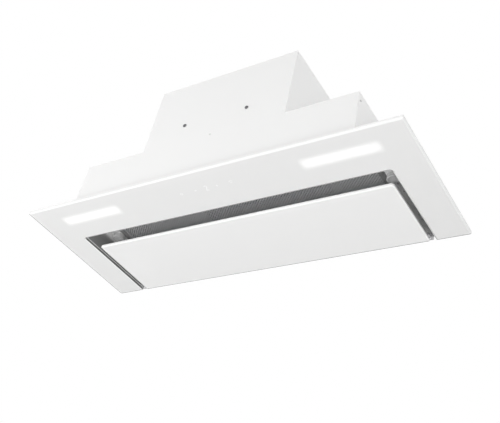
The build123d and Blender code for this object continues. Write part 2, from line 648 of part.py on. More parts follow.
# ---- top plate with the outlet mouth, hanging holes and cable entry --------------------------------
DUCT_HALF_X = SCROLL_HALF_W - SHEET
DUCT_INNER_D = DUCT_D - 2 * SHEET
GLAND_X = -118.0
GLAND_Y = 60.0
GLAND_R = 8.0
SCROLL_SCREW_X = 61.0
SCROLL_SCREW_Y = 32.0
SCROLL_SCREWS = [
    (sx * SCROLL_SCREW_X, COLLAR_Y + sy * SCROLL_SCREW_Y) for sx in (-1, 1) for sy in (-1, 1)
]
COLLAR_SCREW_RADIUS = 84.0
with BuildPart() as top_plate:
    slab(-BOX_HALF_W, BOX_HALF_W, HOUSING_FRONT, HOUSING_REAR, BOX_WALL_TOP, BOX_TOP)
    slab(
        -DUCT_HALF_X, DUCT_HALF_X, COLLAR_Y - DUCT_INNER_D / 2, COLLAR_Y + DUCT_INNER_D / 2,
        BOX_WALL_TOP - 1, BOX_TOP + 1, Mode.SUBTRACT,
    )
    with Locations((0, HANG_Y, BOX_TOP)):
        with GridLocations(2 * HANG_X, HANG_SPACING_Y, 2, 2):
            Hole(HANG_R)
    with Locations((GLAND_X, GLAND_Y, BOX_TOP)):
        Hole(GLAND_R)
    with Locations(*[(x, y, BOX_TOP) for x, y in TOP_SCREWS + SCROLL_SCREWS]):
        Hole(TOP_SCREW_R)
    with Locations((0, COLLAR_Y, BOX_TOP)):
        with PolarLocations(COLLAR_SCREW_RADIUS, 4, start_angle=45):
            Hole(TOP_SCREW_R)
top_plate.part.label = "top_plate"
export_step(top_plate.part, "parts/top_plate.step")

with BuildPart() as top_screws:
    for x, y in TOP_SCREWS + SCROLL_SCREWS:
        fastener(x, y, BOX_TOP, TOP_HEAD_R, TOP_HEAD_H, TOP_SCREW_R, BOX_TOP - BOX_WALL_TOP + SHEET)
top_screws.part.label = "top_screws"
export_step(top_screws.part, "parts/top_screws.step")

with BuildPart() as housing_screws:
    for sx in (-1, 1):
        fastener(
            sx * BRACKET_SCREW_X, BRACKET_SCREW_Y, CARRIER_TOP + BRACKET_T,
            SMALL_HEAD_R, SMALL_HEAD_H, SMALL_SCREW_R, BRACKET_T + SHEET,
        )
    for spots, z in ((PLATE_SCREWS, CARRIER_TOP + SHEET), (FLANGE_SCREWS, TRAY_TOP + SHEET)):
        for x, y in spots:
            fastener(x, y, z, SMALL_HEAD_R, SMALL_HEAD_H, SMALL_SCREW_R, 2 * SHEET)
housing_screws.part.label = "housing_screws"
export_step(housing_screws.part, "parts/housing_screws.step")

# ---- T-shaped front cover with folded side flanges -------------------------------------------------
COVER_SCREW_R = 2.0
COVER_FLANGE_D = 14.0
COVER_HEAD_R = 3.8
COVER_HEAD_H = 2.2
COVER_CROWN = 1.2
COVER_SCREW_L = 8.0
FRONT_PLANE = Plane(origin=(0, COVER_FRONT, 0), x_dir=(1, 0, 0), z_dir=(0, -1, 0))
with BuildPart() as front_cover:
    slab(
        -HOUSING_HALF_W, HOUSING_HALF_W, COVER_FRONT, HOUSING_FRONT,
        CARRIER_TOP + CLEAR, LOWER_TOP,
    )
    slab(-BOX_HALF_W, BOX_HALF_W, COVER_FRONT, HOUSING_FRONT, LOWER_TOP - SHEET, BOX_TOP)
    for half_w, z0, z1 in (
        (HOUSING_HALF_W, CARRIER_TOP + 12, LOWER_TOP - 3),
        (BOX_HALF_W, LOWER_TOP + 3, BOX_WALL_TOP - 3),
    ):
        outer_x = half_w - SHEET - 0.1
        for sx in (-1, 1):
            slab(
                sx * outer_x, sx * (outer_x - SHEET),
                HOUSING_FRONT, HOUSING_FRONT + COVER_FLANGE_D, z0, z1,
            )
    with BuildSketch(FRONT_PLANE.offset(1)):
        with Locations((-COVER_SCREW_X, COVER_SCREW_Z), (COVER_SCREW_X, COVER_SCREW_Z)):
            Circle(COVER_SCREW_R)
        with Locations((0, COVER_HOLE_Z)):
            Circle(COVER_SCREW_R)
    extrude(amount=-2 - SHEET, mode=Mode.SUBTRACT)
    with BuildSketch(Plane.YZ.offset(-HOUSING_HALF_W)):
        with Locations((-SIDE_HOLE_Y, SIDE_HOLE_Z)):
            Circle(SIDE_HOLE_R)
    extrude(amount=2 * HOUSING_HALF_W, mode=Mode.SUBTRACT)
front_cover.part.label = "front_cover"
export_step(front_cover.part, "parts/front_cover.step")

# ---- cross brace behind the cover, which its two screws go into ------------------------------------
BRACE_HALF_H = 8.0
BRACE_D = 22.0
BRACE_SIDE_T = 1.5
brace_half_w = BOX_HALF_W - SHEET - BRACE_SIDE_T
with BuildPart() as front_brace:
    slab(
        -brace_half_w, brace_half_w, HOUSING_FRONT, HOUSING_FRONT + BRACE_D,
        COVER_SCREW_Z - BRACE_HALF_H, COVER_SCREW_Z + BRACE_HALF_H,
    )
    slab(
        -brace_half_w + BRACE_SIDE_T, brace_half_w - BRACE_SIDE_T,
        HOUSING_FRONT + SHEET, HOUSING_FRONT + BRACE_D + 1,
        COVER_SCREW_Z - BRACE_HALF_H + SHEET, COVER_SCREW_Z + BRACE_HALF_H - SHEET, Mode.SUBTRACT,
    )
    for sx in (-1, 1):
        slab(
            sx * brace_half_w, sx * (BOX_HALF_W - SHEET),
            HOUSING_FRONT + COVER_FLANGE_D + 1, HOUSING_FRONT + BRACE_D,
            COVER_SCREW_Z - BRACE_HALF_H, COVER_SCREW_Z + BRACE_HALF_H,
        )
    with BuildSketch(FRONT_PLANE):
        with Locations((-COVER_SCREW_X, COVER_SCREW_Z), (COVER_SCREW_X, COVER_SCREW_Z)):
            Circle(COVER_SCREW_R)
    extrude(amount=-3 * SHEET, mode=Mode.SUBTRACT)
front_brace.part.label = "front_brace"
export_step(front_brace.part, "parts/front_brace.step")

with BuildPart() as cover_screws:
    spots = [(-COVER_SCREW_X, COVER_SCREW_Z), (COVER_SCREW_X, COVER_SCREW_Z)]
    with BuildSketch(FRONT_PLANE):
        with Locations(*spots):
            Circle(COVER_HEAD_R)
    extrude(amount=COVER_HEAD_H)
    crown = cover_screws.edges().filter_by(GeomType.CIRCLE).group_by(Axis.Y)[0]
    fillet(crown, COVER_CROWN)
    with BuildSketch(FRONT_PLANE):
        with Locations(*spots):
            Circle(COVER_SCREW_R)
    extrude(amount=-COVER_SCREW_L)
cover_screws.part.label = "cover_screws"
export_step(cover_screws.part, "parts/cover_screws.step")


# ---- blower: snail housing in two halves, inlets on both sides, outlet upwards ---------------------
def snail(grow):
    """The snail's outline: a round case with a straight duct up from its rear side."""
    with Locations((SCROLL_Y, SCROLL_Z)):
        Circle(SCROLL_R + grow)
    duct_half = DUCT_D / 2 + grow
    with Locations((COLLAR_Y, (SCROLL_Z + BOX_WALL_TOP) / 2)):
        Rectangle(2 * duct_half, BOX_WALL_TOP - SCROLL_Z)


GROMMET_RADIUS = 72.0
GROMMET_ANGLES = (30, 150, 270)
MOTOR_SCREW_R = 2.0
MOTOR_HEAD_R = 4.0
MOTOR_HEAD_H = 2.4
INLET_LIP = 7.0
PANEL_SHIFT = 6.0
FLANGE_LAP = 12.0
for name, sx in SIDES.items():
    end_plane = Plane(origin=(sx * SCROLL_HALF_W, 0, 0), x_dir=(0, 1, 0), z_dir=(1, 0, 0))
    inner_plane = end_plane.offset(-sx * SHEET)
    with BuildPart() as scroll:
        with BuildSketch(end_plane):
            snail(0)
        extrude(amount=-sx * SCROLL_HALF_W)
        with BuildSketch(inner_plane):
            snail(-SHEET)
        extrude(amount=-sx * SCROLL_HALF_W, mode=Mode.SUBTRACT)
        slab(
            0, sx * (SCROLL_HALF_W + FLANGE_LAP), COLLAR_Y - DUCT_D / 2 - FLANGE_LAP,
            COLLAR_Y + DUCT_D / 2 + FLANGE_LAP, BOX_WALL_TOP - SHEET, BOX_WALL_TOP,
        )
        slab(
            0, sx * DUCT_HALF_X, COLLAR_Y - DUCT_INNER_D / 2, COLLAR_Y + DUCT_INNER_D / 2,
            BOX_WALL_TOP - SHEET, BOX_WALL_TOP, Mode.SUBTRACT,
        )
        with BuildSketch(end_plane):
            with Locations((FAN_Y, FAN_Z)):
                Circle(INLET_R + SHEET)
        extrude(amount=-sx * INLET_LIP)
        with BuildSketch(end_plane.offset(sx)):
            with Locations((FAN_Y, FAN_Z)):
                Circle(INLET_R)
                for angle in GROMMET_ANGLES:
                    with PolarLocations(GROMMET_RADIUS, 1, start_angle=angle):
                        Circle(MOTOR_SCREW_R)
        extrude(amount=-sx * (INLET_LIP + 2), mode=Mode.SUBTRACT)
        with Locations(*[(x, y, BOX_WALL_TOP) for x, y in SCROLL_SCREWS if x * sx > 0]):
            Hole(TOP_SCREW_R, depth=2 * SHEET)
        # three flange strips, a wall, and a side of four panels with a rolled lip round the inlet
        lap_end = sx * (SCROLL_HALF_W + FLANGE_LAP + 1)
        lap_half = DUCT_D / 2 + FLANGE_LAP + 1
        front = SCROLL_Y - SCROLL_R - 1
        rear = COLLAR_Y + lap_half
        foot = SCROLL_Z - SCROLL_R - 1
        seam_z(BOX_WALL_TOP - SHEET, 0, lap_end, COLLAR_Y - lap_half, rear)
        seam_x(sx * DUCT_HALF_X, front, rear, foot, BOX_WALL_TOP)
        lip_end = sx * (SCROLL_HALF_W - INLET_LIP - 1)
        lip_reach = INLET_R + 2 * SHEET
        outside = sx * (SCROLL_HALF_W + 1)
        seam_y(FAN_Y + PANEL_SHIFT, sx * DUCT_HALF_X, outside, foot, BOX_WALL_TOP - SHEET)
        seam_z(FAN_Z, sx * DUCT_HALF_X, outside, front, rear)
        seam_y(FAN_Y + PANEL_SHIFT, lip_end, outside, FAN_Z - lip_reach, FAN_Z + lip_reach)
        seam_z(FAN_Z, lip_end, outside, FAN_Y - lip_reach, FAN_Y + lip_reach)
    scroll.part.label = f"scroll_{name}"
    export_step(scroll.part, f"parts/scroll_{name}.step")


# ---- impeller, motor, bearings and the sprung motor bracket ----------------------------------------
def fan_plane(x):
    """A plane square to the fan's axis at x, with its origin on the axis."""
    return Plane(origin=(x, FAN_Y, FAN_Z), x_dir=(0, 1, 0), z_dir=(1, 0, 0))


HUB_X = 2.0
HUB_DISC_T = 1.2
HUB_R = 10.0
HUB_L = 12.0
BLADE_CHORD = 11.0
BLADE_T = 1.0
BLADE_ANGLE = 35.0
BLADE_MID_R = 69.0
RING_T = 1.5
RING_W = 9.0


def blade_rows(mode=Mode.SUBTRACT):
    """The ends of all blades, which run through slots in the disc from ring to ring."""
    with PolarLocations(BLADE_MID_R, BLADES):
        Rectangle(BLADE_CHORD, BLADE_T, rotation=BLADE_ANGLE, mode=mode)


with BuildPart() as impeller_disc:
    with BuildSketch(fan_plane(HUB_X)):
        Circle(IMPELLER_R)
        blade_rows()
    extrude(amount=HUB_DISC_T)
    with BuildSketch(fan_plane(HUB_X)):
        Circle(HUB_R)
    extrude(amount=HUB_L)
    with BuildSketch(fan_plane(HUB_X - 1)):
        Circle(SHAFT_R)
    extrude(amount=HUB_L + 2, mode=Mode.SUBTRACT)
impeller_disc.part.label = "impeller_disc"
export_step(impeller_disc.part, "parts/impeller_disc.step")

with BuildPart() as impeller_rings:
    for x in (-IMPELLER_HALF_W, IMPELLER_HALF_W - RING_T):
        with BuildSketch(fan_plane(x)):
            Circle(IMPELLER_R)
            Circle(IMPELLER_R - RING_W, mode=Mode.SUBTRACT)
        extrude(amount=RING_T)
impeller_rings.part.label = "impeller_rings"
export_step(impeller_rings.part, "parts/impeller_rings.step")

with BuildPart() as impeller_blades:
    with BuildSketch(fan_plane(-IMPELLER_HALF_W + RING_T)):
        blade_rows(Mode.ADD)
    extrude(amount=2 * (IMPELLER_HALF_W - RING_T))
impeller_blades.part.label = "impeller_blades"
export_step(impeller_blades.part, "parts/impeller_blades.step")

MOTOR_REAR_X = MOTOR_FRONT_X - MOTOR_L
END_WALL = 6.0
BEARING_R = 8.0
CAN_WALL = 3.0
with BuildPart() as motor_can:
    with BuildSketch(fan_plane(MOTOR_REAR_X)):
        Circle(MOTOR_R)
    extrude(amount=MOTOR_L)
    fillet(motor_can.edges().filter_by(GeomType.CIRCLE), 3)
    with BuildSketch(fan_plane(MOTOR_REAR_X + END_WALL)):
        Circle(MOTOR_R - CAN_WALL)
    extrude(amount=MOTOR_L - 2 * END_WALL, mode=Mode.SUBTRACT)
    with BuildSketch(fan_plane(MOTOR_REAR_X)):
        Circle(BEARING_R)
    extrude(amount=MOTOR_L, mode=Mode.SUBTRACT)
motor_can.part.label = "motor_can"
export_step(motor_can.part, "parts/motor_can.step")

with BuildPart() as motor_bearings:
    for x in (MOTOR_REAR_X, MOTOR_FRONT_X - END_WALL):
        with BuildSketch(fan_plane(x)):
            Circle(BEARING_R)
            Circle(SHAFT_R + RUNNING, mode=Mode.SUBTRACT)
        extrude(amount=END_WALL)
motor_bearings.part.label = "motor_bearings"
export_step(motor_bearings.part, "parts/motor_bearings.step")

ROTOR_R = 24.0
STATOR_L = 36.0
STATOR_X = MOTOR_REAR_X + (MOTOR_L - STATOR_L) / 2
with BuildPart() as motor_rotor:
    with BuildSketch(fan_plane(MOTOR_REAR_X)):
        Circle(SHAFT_R)
    extrude(amount=HUB_X + HUB_L - MOTOR_REAR_X)
    with BuildSketch(fan_plane(STATOR_X)):
        Circle(ROTOR_R)
    extrude(amount=STATOR_L)
motor_rotor.part.label = "motor_rotor"
export_step(motor_rotor.part, "parts/motor_rotor.step")

with BuildPart() as motor_stator:
    with BuildSketch(fan_plane(STATOR_X)):
        Circle(MOTOR_R - CAN_WALL)
        Circle(ROTOR_R + 0.5, mode=Mode.SUBTRACT)
    extrude(amount=STATOR_L)
motor_stator.part.label = "motor_stator"
export_step(motor_stator.part, "parts/motor_stator.step")

GROMMET_T = 5.0
MOTOR_PLATE_T = 2.0
MOTOR_RING_R = 52.0
ARM_W = 14.0
bracket_x = -SCROLL_HALF_W - GROMMET_T - MOTOR_PLATE_T
with BuildPart() as motor_bracket:
    with BuildSketch(fan_plane(bracket_x)):
        Circle(MOTOR_RING_R)
        for angle in GROMMET_ANGLES:
            with PolarLocations(GROMMET_RADIUS / 2, 1, start_angle=angle):
                Rectangle(GROMMET_RADIUS, ARM_W)
            with PolarLocations(GROMMET_RADIUS, 1, start_angle=angle):
                Circle(ARM_W / 2)
        Circle(MOTOR_R, mode=Mode.SUBTRACT)
        for angle in GROMMET_ANGLES:
            with PolarLocations(GROMMET_RADIUS, 1, start_angle=angle):
                Circle(MOTOR_SCREW_R, mode=Mode.SUBTRACT)
    extrude(amount=MOTOR_PLATE_T)
motor_bracket.part.label = "motor_bracket"
export_step(motor_bracket.part, "parts/motor_bracket.step")

with BuildPart() as motor_grommets:
    with BuildSketch(fan_plane(-SCROLL_HALF_W - GROMMET_T)):
        for angle in GROMMET_ANGLES:
            with PolarLocations(GROMMET_RADIUS, 1, start_angle=angle):
                Circle(ARM_W / 2)
                Circle(MOTOR_SCREW_R, mode=Mode.SUBTRACT)
    extrude(amount=GROMMET_T)
motor_grommets.part.label = "motor_grommets"
export_step(motor_grommets.part, "parts/motor_grommets.step")

with BuildPart() as motor_screws:
    with BuildSketch(fan_plane(bracket_x)):
        for angle in GROMMET_ANGLES:
            with PolarLocations(GROMMET_RADIUS, 1, start_angle=angle):
                Circle(MOTOR_HEAD_R)
    extrude(amount=-MOTOR_HEAD_H)
    with BuildSketch(fan_plane(bracket_x)):
        for angle in GROMMET_ANGLES:
            with PolarLocations(GROMMET_RADIUS, 1, start_angle=angle):
                Circle(MOTOR_SCREW_R)
    extrude(amount=GROMMET_T + MOTOR_PLATE_T + SHEET)
motor_screws.part.label = "motor_screws"
export_step(motor_screws.part, "parts/motor_screws.step")

# ---- outlet collar with its seal and the two check-valve flaps -------------------------------------
SEAL_T = 1.0
COLLAR_BORE_R = COLLAR_R - COLLAR_T
COLLAR_FLANGE_R = 92.0
COLLAR_BASE = BOX_TOP + SEAL_T
LEDGE_R = 68.0
with BuildPart() as outlet_seal:
    with BuildSketch(Plane.XY.offset(BOX_TOP)):
        with Locations((0, COLLAR_Y)):
            Circle(COLLAR_FLANGE_R)
            Circle(COLLAR_BORE_R, mode=Mode.SUBTRACT)
            with PolarLocations(COLLAR_SCREW_RADIUS, 4, start_angle=45):
                Circle(TOP_SCREW_R, mode=Mode.SUBTRACT)
    extrude(amount=SEAL_T)
outlet_seal.part.label = "outlet_seal"
export_step(outlet_seal.part, "parts/outlet_seal.step")

DAMPER_T = 1.2
LEDGE_TOP = DAMPER_Z - DAMPER_T / 2 - CLEAR
with BuildPart() as outlet_collar:
    with BuildSketch(Plane.XY.offset(COLLAR_BASE)):
        with Locations((0, COLLAR_Y)):
            Circle(COLLAR_FLANGE_R)
            with PolarLocations(COLLAR_SCREW_RADIUS, 4, start_angle=45):
                Circle(TOP_SCREW_R, mode=Mode.SUBTRACT)
    extrude(amount=COLLAR_T)
    with BuildSketch(Plane.XY.offset(COLLAR_BASE)):
        with Locations((0, COLLAR_Y)):
            Circle(COLLAR_R)
    extrude(amount=COLLAR_H)
    with BuildSketch(Plane.XY.offset(COLLAR_BASE)):
        with Locations((0, COLLAR_Y)):
            Circle(COLLAR_BORE_R)
    extrude(amount=COLLAR_H, mode=Mode.SUBTRACT)
    with BuildSketch(Plane.XY.offset(LEDGE_TOP)):
        with Locations((0, COLLAR_Y)):
            Circle(COLLAR_R - COLLAR_T / 2)
            Circle(LEDGE_R, mode=Mode.SUBTRACT)
    extrude(amount=-COLLAR_T)
    with BuildSketch(Plane.YZ.offset(-COLLAR_R - 1)):
        with Locations((COLLAR_Y, DAMPER_Z)):
            Circle(DAMPER_PIN_R)
    extrude(amount=2 * COLLAR_R + 2, mode=Mode.SUBTRACT)
outlet_collar.part.label = "outlet_collar"
export_step(outlet_collar.part, "parts/outlet_collar.step")

with BuildPart() as collar_screws:
    with BuildSketch(Plane.XY.offset(COLLAR_BASE + COLLAR_T)):
        with Locations((0, COLLAR_Y)):
            with PolarLocations(COLLAR_SCREW_RADIUS, 4, start_angle=45):
                Circle(TOP_HEAD_R)
    extrude(amount=TOP_HEAD_H)
    with BuildSketch(Plane.XY.offset(COLLAR_BASE + COLLAR_T)):
        with Locations((0, COLLAR_Y)):
            with PolarLocations(COLLAR_SCREW_RADIUS, 4, start_angle=45):
                Circle(TOP_SCREW_R)
    extrude(amount=-(COLLAR_BASE + COLLAR_T - BOX_WALL_TOP))
collar_screws.part.label = "collar_screws"
export_step(collar_screws.part, "parts/collar_screws.step")

with BuildPart() as damper_pin:
    with BuildSketch(Plane.YZ.offset(-COLLAR_R + 0.2)):
        with Locations((COLLAR_Y, DAMPER_Z)):
            Circle(DAMPER_PIN_R)
    extrude(amount=2 * COLLAR_R - 0.4)
damper_pin.part.label = "damper_pin"
export_step(damper_pin.part, "parts/damper_pin.step")

KNUCKLE_R = 3.4
KNUCKLE_L = 20.0
SPLIT = 4.6
FRONT_KNUCKLES = (-62.0, 2.0)
REAR_KNUCKLES = (-22.0, 42.0)
for name, sy, starts in (("front", -1, FRONT_KNUCKLES), ("rear", 1, REAR_KNUCKLES)):
    with BuildPart() as damper_flap:
        with BuildSketch(Plane.XY.offset(DAMPER_Z - DAMPER_T / 2)):
            with Locations((0, COLLAR_Y)):
                Circle(DAMPER_R)
            with Locations((0, COLLAR_Y + sy * (SPLIT - DAMPER_R))):
                Rectangle(2 * DAMPER_R + 2, 2 * DAMPER_R, mode=Mode.SUBTRACT)
        extrude(amount=DAMPER_T)
        for x in starts:
            slab(
                x, x + KNUCKLE_L, COLLAR_Y + min(sy * (SPLIT + 1), 0),
                COLLAR_Y + max(sy * (SPLIT + 1), 0), DAMPER_Z - DAMPER_T / 2, DAMPER_Z + DAMPER_T / 2,
            )
            with BuildSketch(Plane.YZ.offset(x)):
                with Locations((COLLAR_Y, DAMPER_Z)):
                    Circle(KNUCKLE_R)
            extrude(amount=KNUCKLE_L)
        with BuildSketch(Plane.YZ.offset(-DAMPER_R)):
            with Locations((COLLAR_Y, DAMPER_Z)):
                Circle(DAMPER_PIN_R + RUNNING)
        extrude(amount=2 * DAMPER_R, mode=Mode.SUBTRACT)
    damper_flap.part.label = f"damper_flap_{name}"
    export_step(damper_flap.part, f"parts/damper_flap_{name}.step")

# ---- electronics under the right shoulder ----------------------------------------------------------
ELEC_X = (190.0, 290.0)
ELEC_Y = (-60.0, 60.0)
ELEC_BOTTOM = 82.0
ELEC_WALL = 1.5
ELEC_TOP = LOWER_TOP - SHEET
BOARD_Z = 110.0
BOARD_MARGIN = 4.0
BOARD_FRONT = -10.0
POST_R = 3.0
POST_INSET = 10.0
with BuildPart() as electronics_box:
    slab(*ELEC_X, *ELEC_Y, ELEC_BOTTOM, ELEC_TOP)
    slab(
        ELEC_X[0] + ELEC_WALL, ELEC_X[1] - ELEC_WALL, ELEC_Y[0] + ELEC_WALL, ELEC_Y[1] - ELEC_WALL,
        ELEC_BOTTOM, ELEC_TOP - ELEC_WALL, Mode.SUBTRACT,
    )
    for x in (ELEC_X[0] + POST_INSET, ELEC_X[1] - POST_INSET):
        for y in (BOARD_FRONT + POST_INSET, ELEC_Y[1] - POST_INSET):
            with Locations((x, y, ELEC_TOP)):
                Cylinder(
                    POST_R, ELEC_TOP - BOARD_Z - BOARD_T,
                    align=(Align.CENTER, Align.CENTER, Align.MAX),
                )
electronics_box.part.label = "electronics_box"
export_step(electronics_box.part, "parts/electronics_box.step")

with BuildPart() as electronics_lid:
    slab(*ELEC_X, *ELEC_Y, ELEC_BOTTOM - ELEC_WALL, ELEC_BOTTOM)
electronics_lid.part.label = "electronics_lid"
export_step(electronics_lid.part, "parts/electronics_lid.step")

RELAY_SIZE = (20.0, 16.0, 15.0)
TRANSFORMER_SIZE = (24.0, 20.0, 22.0)
with BuildPart() as control_board:
    slab(
        ELEC_X[0] + BOARD_MARGIN, ELEC_X[1] - BOARD_MARGIN, BOARD_FRONT, ELEC_Y[1] - BOARD_MARGIN,
        BOARD_Z, BOARD_Z + BOARD_T,
    )
    for x, y, (w, d, h) in ((212, 15, RELAY_SIZE), (240, 15, RELAY_SIZE), (266, 35, TRANSFORMER_SIZE)):
        slab(x - w / 2, x + w / 2, y - d / 2, y + d / 2, BOARD_Z - h, BOARD_Z)
control_board.part.label = "control_board"
export_step(control_board.part, "parts/control_board.step")

CAPACITOR_R = 15.0
CAPACITOR_L = 60.0
CAPACITOR_GAP = 11.0
with BuildPart() as run_capacitor:
    middle = (
        ELEC_X[0] + CAPACITOR_R, ELEC_Y[0] + CAPACITOR_R + CAPACITOR_GAP,
        ELEC_TOP - ELEC_WALL - CAPACITOR_R,
    )
    with BuildSketch(Plane(origin=middle, x_dir=(0, 1, 0), z_dir=(1, 0, 0))):
        Circle(CAPACITOR_R)
    extrude(amount=CAPACITOR_L)
run_capacitor.part.label = "run_capacitor"
export_step(run_capacitor.part, "parts/run_capacitor.step")

GLAND_HEX_R = 11.0
GLAND_HEX_H = 7.0
GLAND_CONE_H = 8.0
GLAND_CONE_TAPER = 12.0
GLAND_NUT_H = 4.0
GLAND_THREAD_L = 6.0
GLAND_BORE_R = 3.5
gland_top = BOX_TOP + GLAND_HEX_H + GLAND_CONE_H
with BuildPart() as cable_gland:
    with BuildSketch(Plane.XY.offset(BOX_TOP)):
        with Locations((GLAND_X, GLAND_Y)):
            RegularPolygon(GLAND_HEX_R, 6)
    extrude(amount=GLAND_HEX_H)
    with BuildSketch(Plane.XY.offset(BOX_TOP + GLAND_HEX_H)):
        with Locations((GLAND_X, GLAND_Y)):
            Circle(GLAND_R)
    extrude(amount=GLAND_CONE_H, taper=GLAND_CONE_TAPER)
    with BuildSketch(Plane.XY.offset(BOX_TOP)):
        with Locations((GLAND_X, GLAND_Y)):
            Circle(GLAND_R)
    extrude(amount=BOX_WALL_TOP - BOX_TOP - GLAND_THREAD_L)
    with BuildSketch(Plane.XY.offset(BOX_WALL_TOP)):
        with Locations((GLAND_X, GLAND_Y)):
            RegularPolygon(GLAND_HEX_R, 6)
    extrude(amount=-GLAND_NUT_H)
    with Locations((GLAND_X, GLAND_Y, gland_top)):
        Hole(GLAND_BORE_R)
cable_gland.part.label = "cable_gland"
export_step(cable_gland.part, "parts/cable_gland.step")

# ---- lights: opal window, board and housing on each side -------------------------------------------
LED_CAP_WALL = 1.5
LED_CAP_END = 8.0
LED_CAP_R = 3.0
LED_COUNT = 12
LED_SIDE = 3.2
LED_CHIP_T = 0.8
LED_BOARD_W = 11.0
led_ceiling = CARRIER_TOP + LED_CAP_H - LED_CAP_WALL
for name, sx in SIDES.items():
    cap_half_l = LED_L / 2 + LED_CAP_END
    with BuildPart() as led_housing:
        slab(
            sx * LED_X - cap_half_l, sx * LED_X + cap_half_l,
            LED_Y - LED_HOUSING_W / 2, LED_Y + LED_HOUSING_W / 2,
            CARRIER_TOP, CARRIER_TOP + LED_CAP_H,
        )
        fillet(led_housing.edges().filter_by(Axis.Z), LED_CAP_R)
        slab(
            sx * LED_X - LED_L / 2 - 1, sx * LED_X + LED_L / 2 + 1,
            LED_Y - LED_W / 2 - 1, LED_Y + LED_W / 2 + 1,
            CARRIER_TOP, led_ceiling, Mode.SUBTRACT,
        )
    led_housing.part.label = f"led_housing_{name}"
    export_step(led_housing.part, f"parts/led_housing_{name}.step")

with BuildPart() as led_diffusers:
    with BuildSketch(Plane.XY.offset(GLASS_T)):
        with Locations((-LED_X, LED_Y), (LED_X, LED_Y)):
            RectangleRounded(LED_L + 1, LED_W + 1, 2)
    extrude(amount=TAPE_T)
led_diffusers.part.label = "led_diffusers"
export_step(led_diffusers.part, "parts/led_diffusers.step")

with BuildPart() as led_boards:
    with BuildSketch(Plane.XY.offset(led_ceiling)):
        with Locations((-LED_X, LED_Y), (LED_X, LED_Y)):
            Rectangle(LED_L - 2, LED_BOARD_W)
    extrude(amount=-BOARD_T)
    with BuildSketch(Plane.XY.offset(led_ceiling - BOARD_T)):
        with Locations((-LED_X, LED_Y), (LED_X, LED_Y)):
            with GridLocations(LED_L / LED_COUNT, 0, LED_COUNT, 1):
                Rectangle(LED_SIDE, LED_SIDE)
    extrude(amount=-LED_CHIP_T)
led_boards.part.label = "led_boards"
export_step(led_boards.part, "parts/led_boards.step")

# ---- touch keys: board against the glass under a holder --------------------------------------------
TOUCH_CAP_H = 9.0
TOUCH_CAP_X = 8.0
TOUCH_CAP_Y = 5.0
touch_ceiling = CARRIER_TOP + TOUCH_CAP_H - LED_CAP_WALL
with BuildPart() as touch_board:
    slab(
        -TOUCH_L / 2, TOUCH_L / 2, TOUCH_Y - TOUCH_W / 2, TOUCH_Y + TOUCH_W / 2,
        GLASS_T, GLASS_T + BOARD_T,
    )
touch_board.part.label = "touch_board"
export_step(touch_board.part, "parts/touch_board.step")

with BuildPart() as touch_holder:
    slab(
        -TOUCH_L / 2 - TOUCH_CAP_X, TOUCH_L / 2 + TOUCH_CAP_X,
        TOUCH_Y - TOUCH_W / 2 - TOUCH_CAP_Y, TOUCH_Y + TOUCH_W / 2 + TOUCH_CAP_Y,
        CARRIER_TOP, CARRIER_TOP + TOUCH_CAP_H,
    )
    fillet(touch_holder.edges().filter_by(Axis.Z), LED_CAP_R)
    slab(
        -TOUCH_L / 2 - 1, TOUCH_L / 2 + 1, TOUCH_Y - TOUCH_W / 2 - 1, TOUCH_Y + TOUCH_W / 2 + 1,
        CARRIER_TOP, touch_ceiling, Mode.SUBTRACT,
    )
    for x in (-TOUCH_L / 3, 0, TOUCH_L / 3):
        slab(
            x - 1, x + 1, TOUCH_Y - TOUCH_W / 2, TOUCH_Y + TOUCH_W / 2,
            GLASS_T + BOARD_T, touch_ceiling,
        )
touch_holder.part.label = "touch_holder"
export_step(touch_holder.part, "parts/touch_holder.step")
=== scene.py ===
import json
import math

import bmesh
import bpy
from bpy.props import FloatProperty, FloatVectorProperty, PointerProperty
from mathutils import Matrix, Vector


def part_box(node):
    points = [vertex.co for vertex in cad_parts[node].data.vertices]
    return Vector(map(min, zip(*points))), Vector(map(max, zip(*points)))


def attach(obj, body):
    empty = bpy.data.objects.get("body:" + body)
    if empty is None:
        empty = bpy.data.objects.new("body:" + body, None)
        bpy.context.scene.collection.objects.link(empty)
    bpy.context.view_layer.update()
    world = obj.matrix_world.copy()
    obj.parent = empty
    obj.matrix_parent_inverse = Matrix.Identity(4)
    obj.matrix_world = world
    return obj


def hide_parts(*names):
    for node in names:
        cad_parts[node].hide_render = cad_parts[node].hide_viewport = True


bl_info = {
    "name": "Built-in Range Hood",
    "version": (1, 0, 0),
    "blender": (4, 5, 0),
    "location": "View3D > Sidebar > Range Hood",
    "description": "Models the visible pieces of a built-in range hood and gives every piece its finish",
    "category": "Add Mesh",
}

# x runs to the right as seen from the front, y to the back, z up. The origin is the middle of the glass
# plate's underside. All sizes are metres, and MM turns a number of millimetres into metres.
MM = 0.001

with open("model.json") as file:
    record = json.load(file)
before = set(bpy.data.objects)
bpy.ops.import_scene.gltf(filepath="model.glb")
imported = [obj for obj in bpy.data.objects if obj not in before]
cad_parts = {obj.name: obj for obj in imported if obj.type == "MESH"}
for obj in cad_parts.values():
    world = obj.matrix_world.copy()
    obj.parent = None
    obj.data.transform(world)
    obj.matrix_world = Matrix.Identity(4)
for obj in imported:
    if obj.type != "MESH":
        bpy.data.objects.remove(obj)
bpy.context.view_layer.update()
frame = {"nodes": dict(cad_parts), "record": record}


def middle(node):
    """The middle of a node's box."""
    low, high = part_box(node)
    return (low + high) / 2


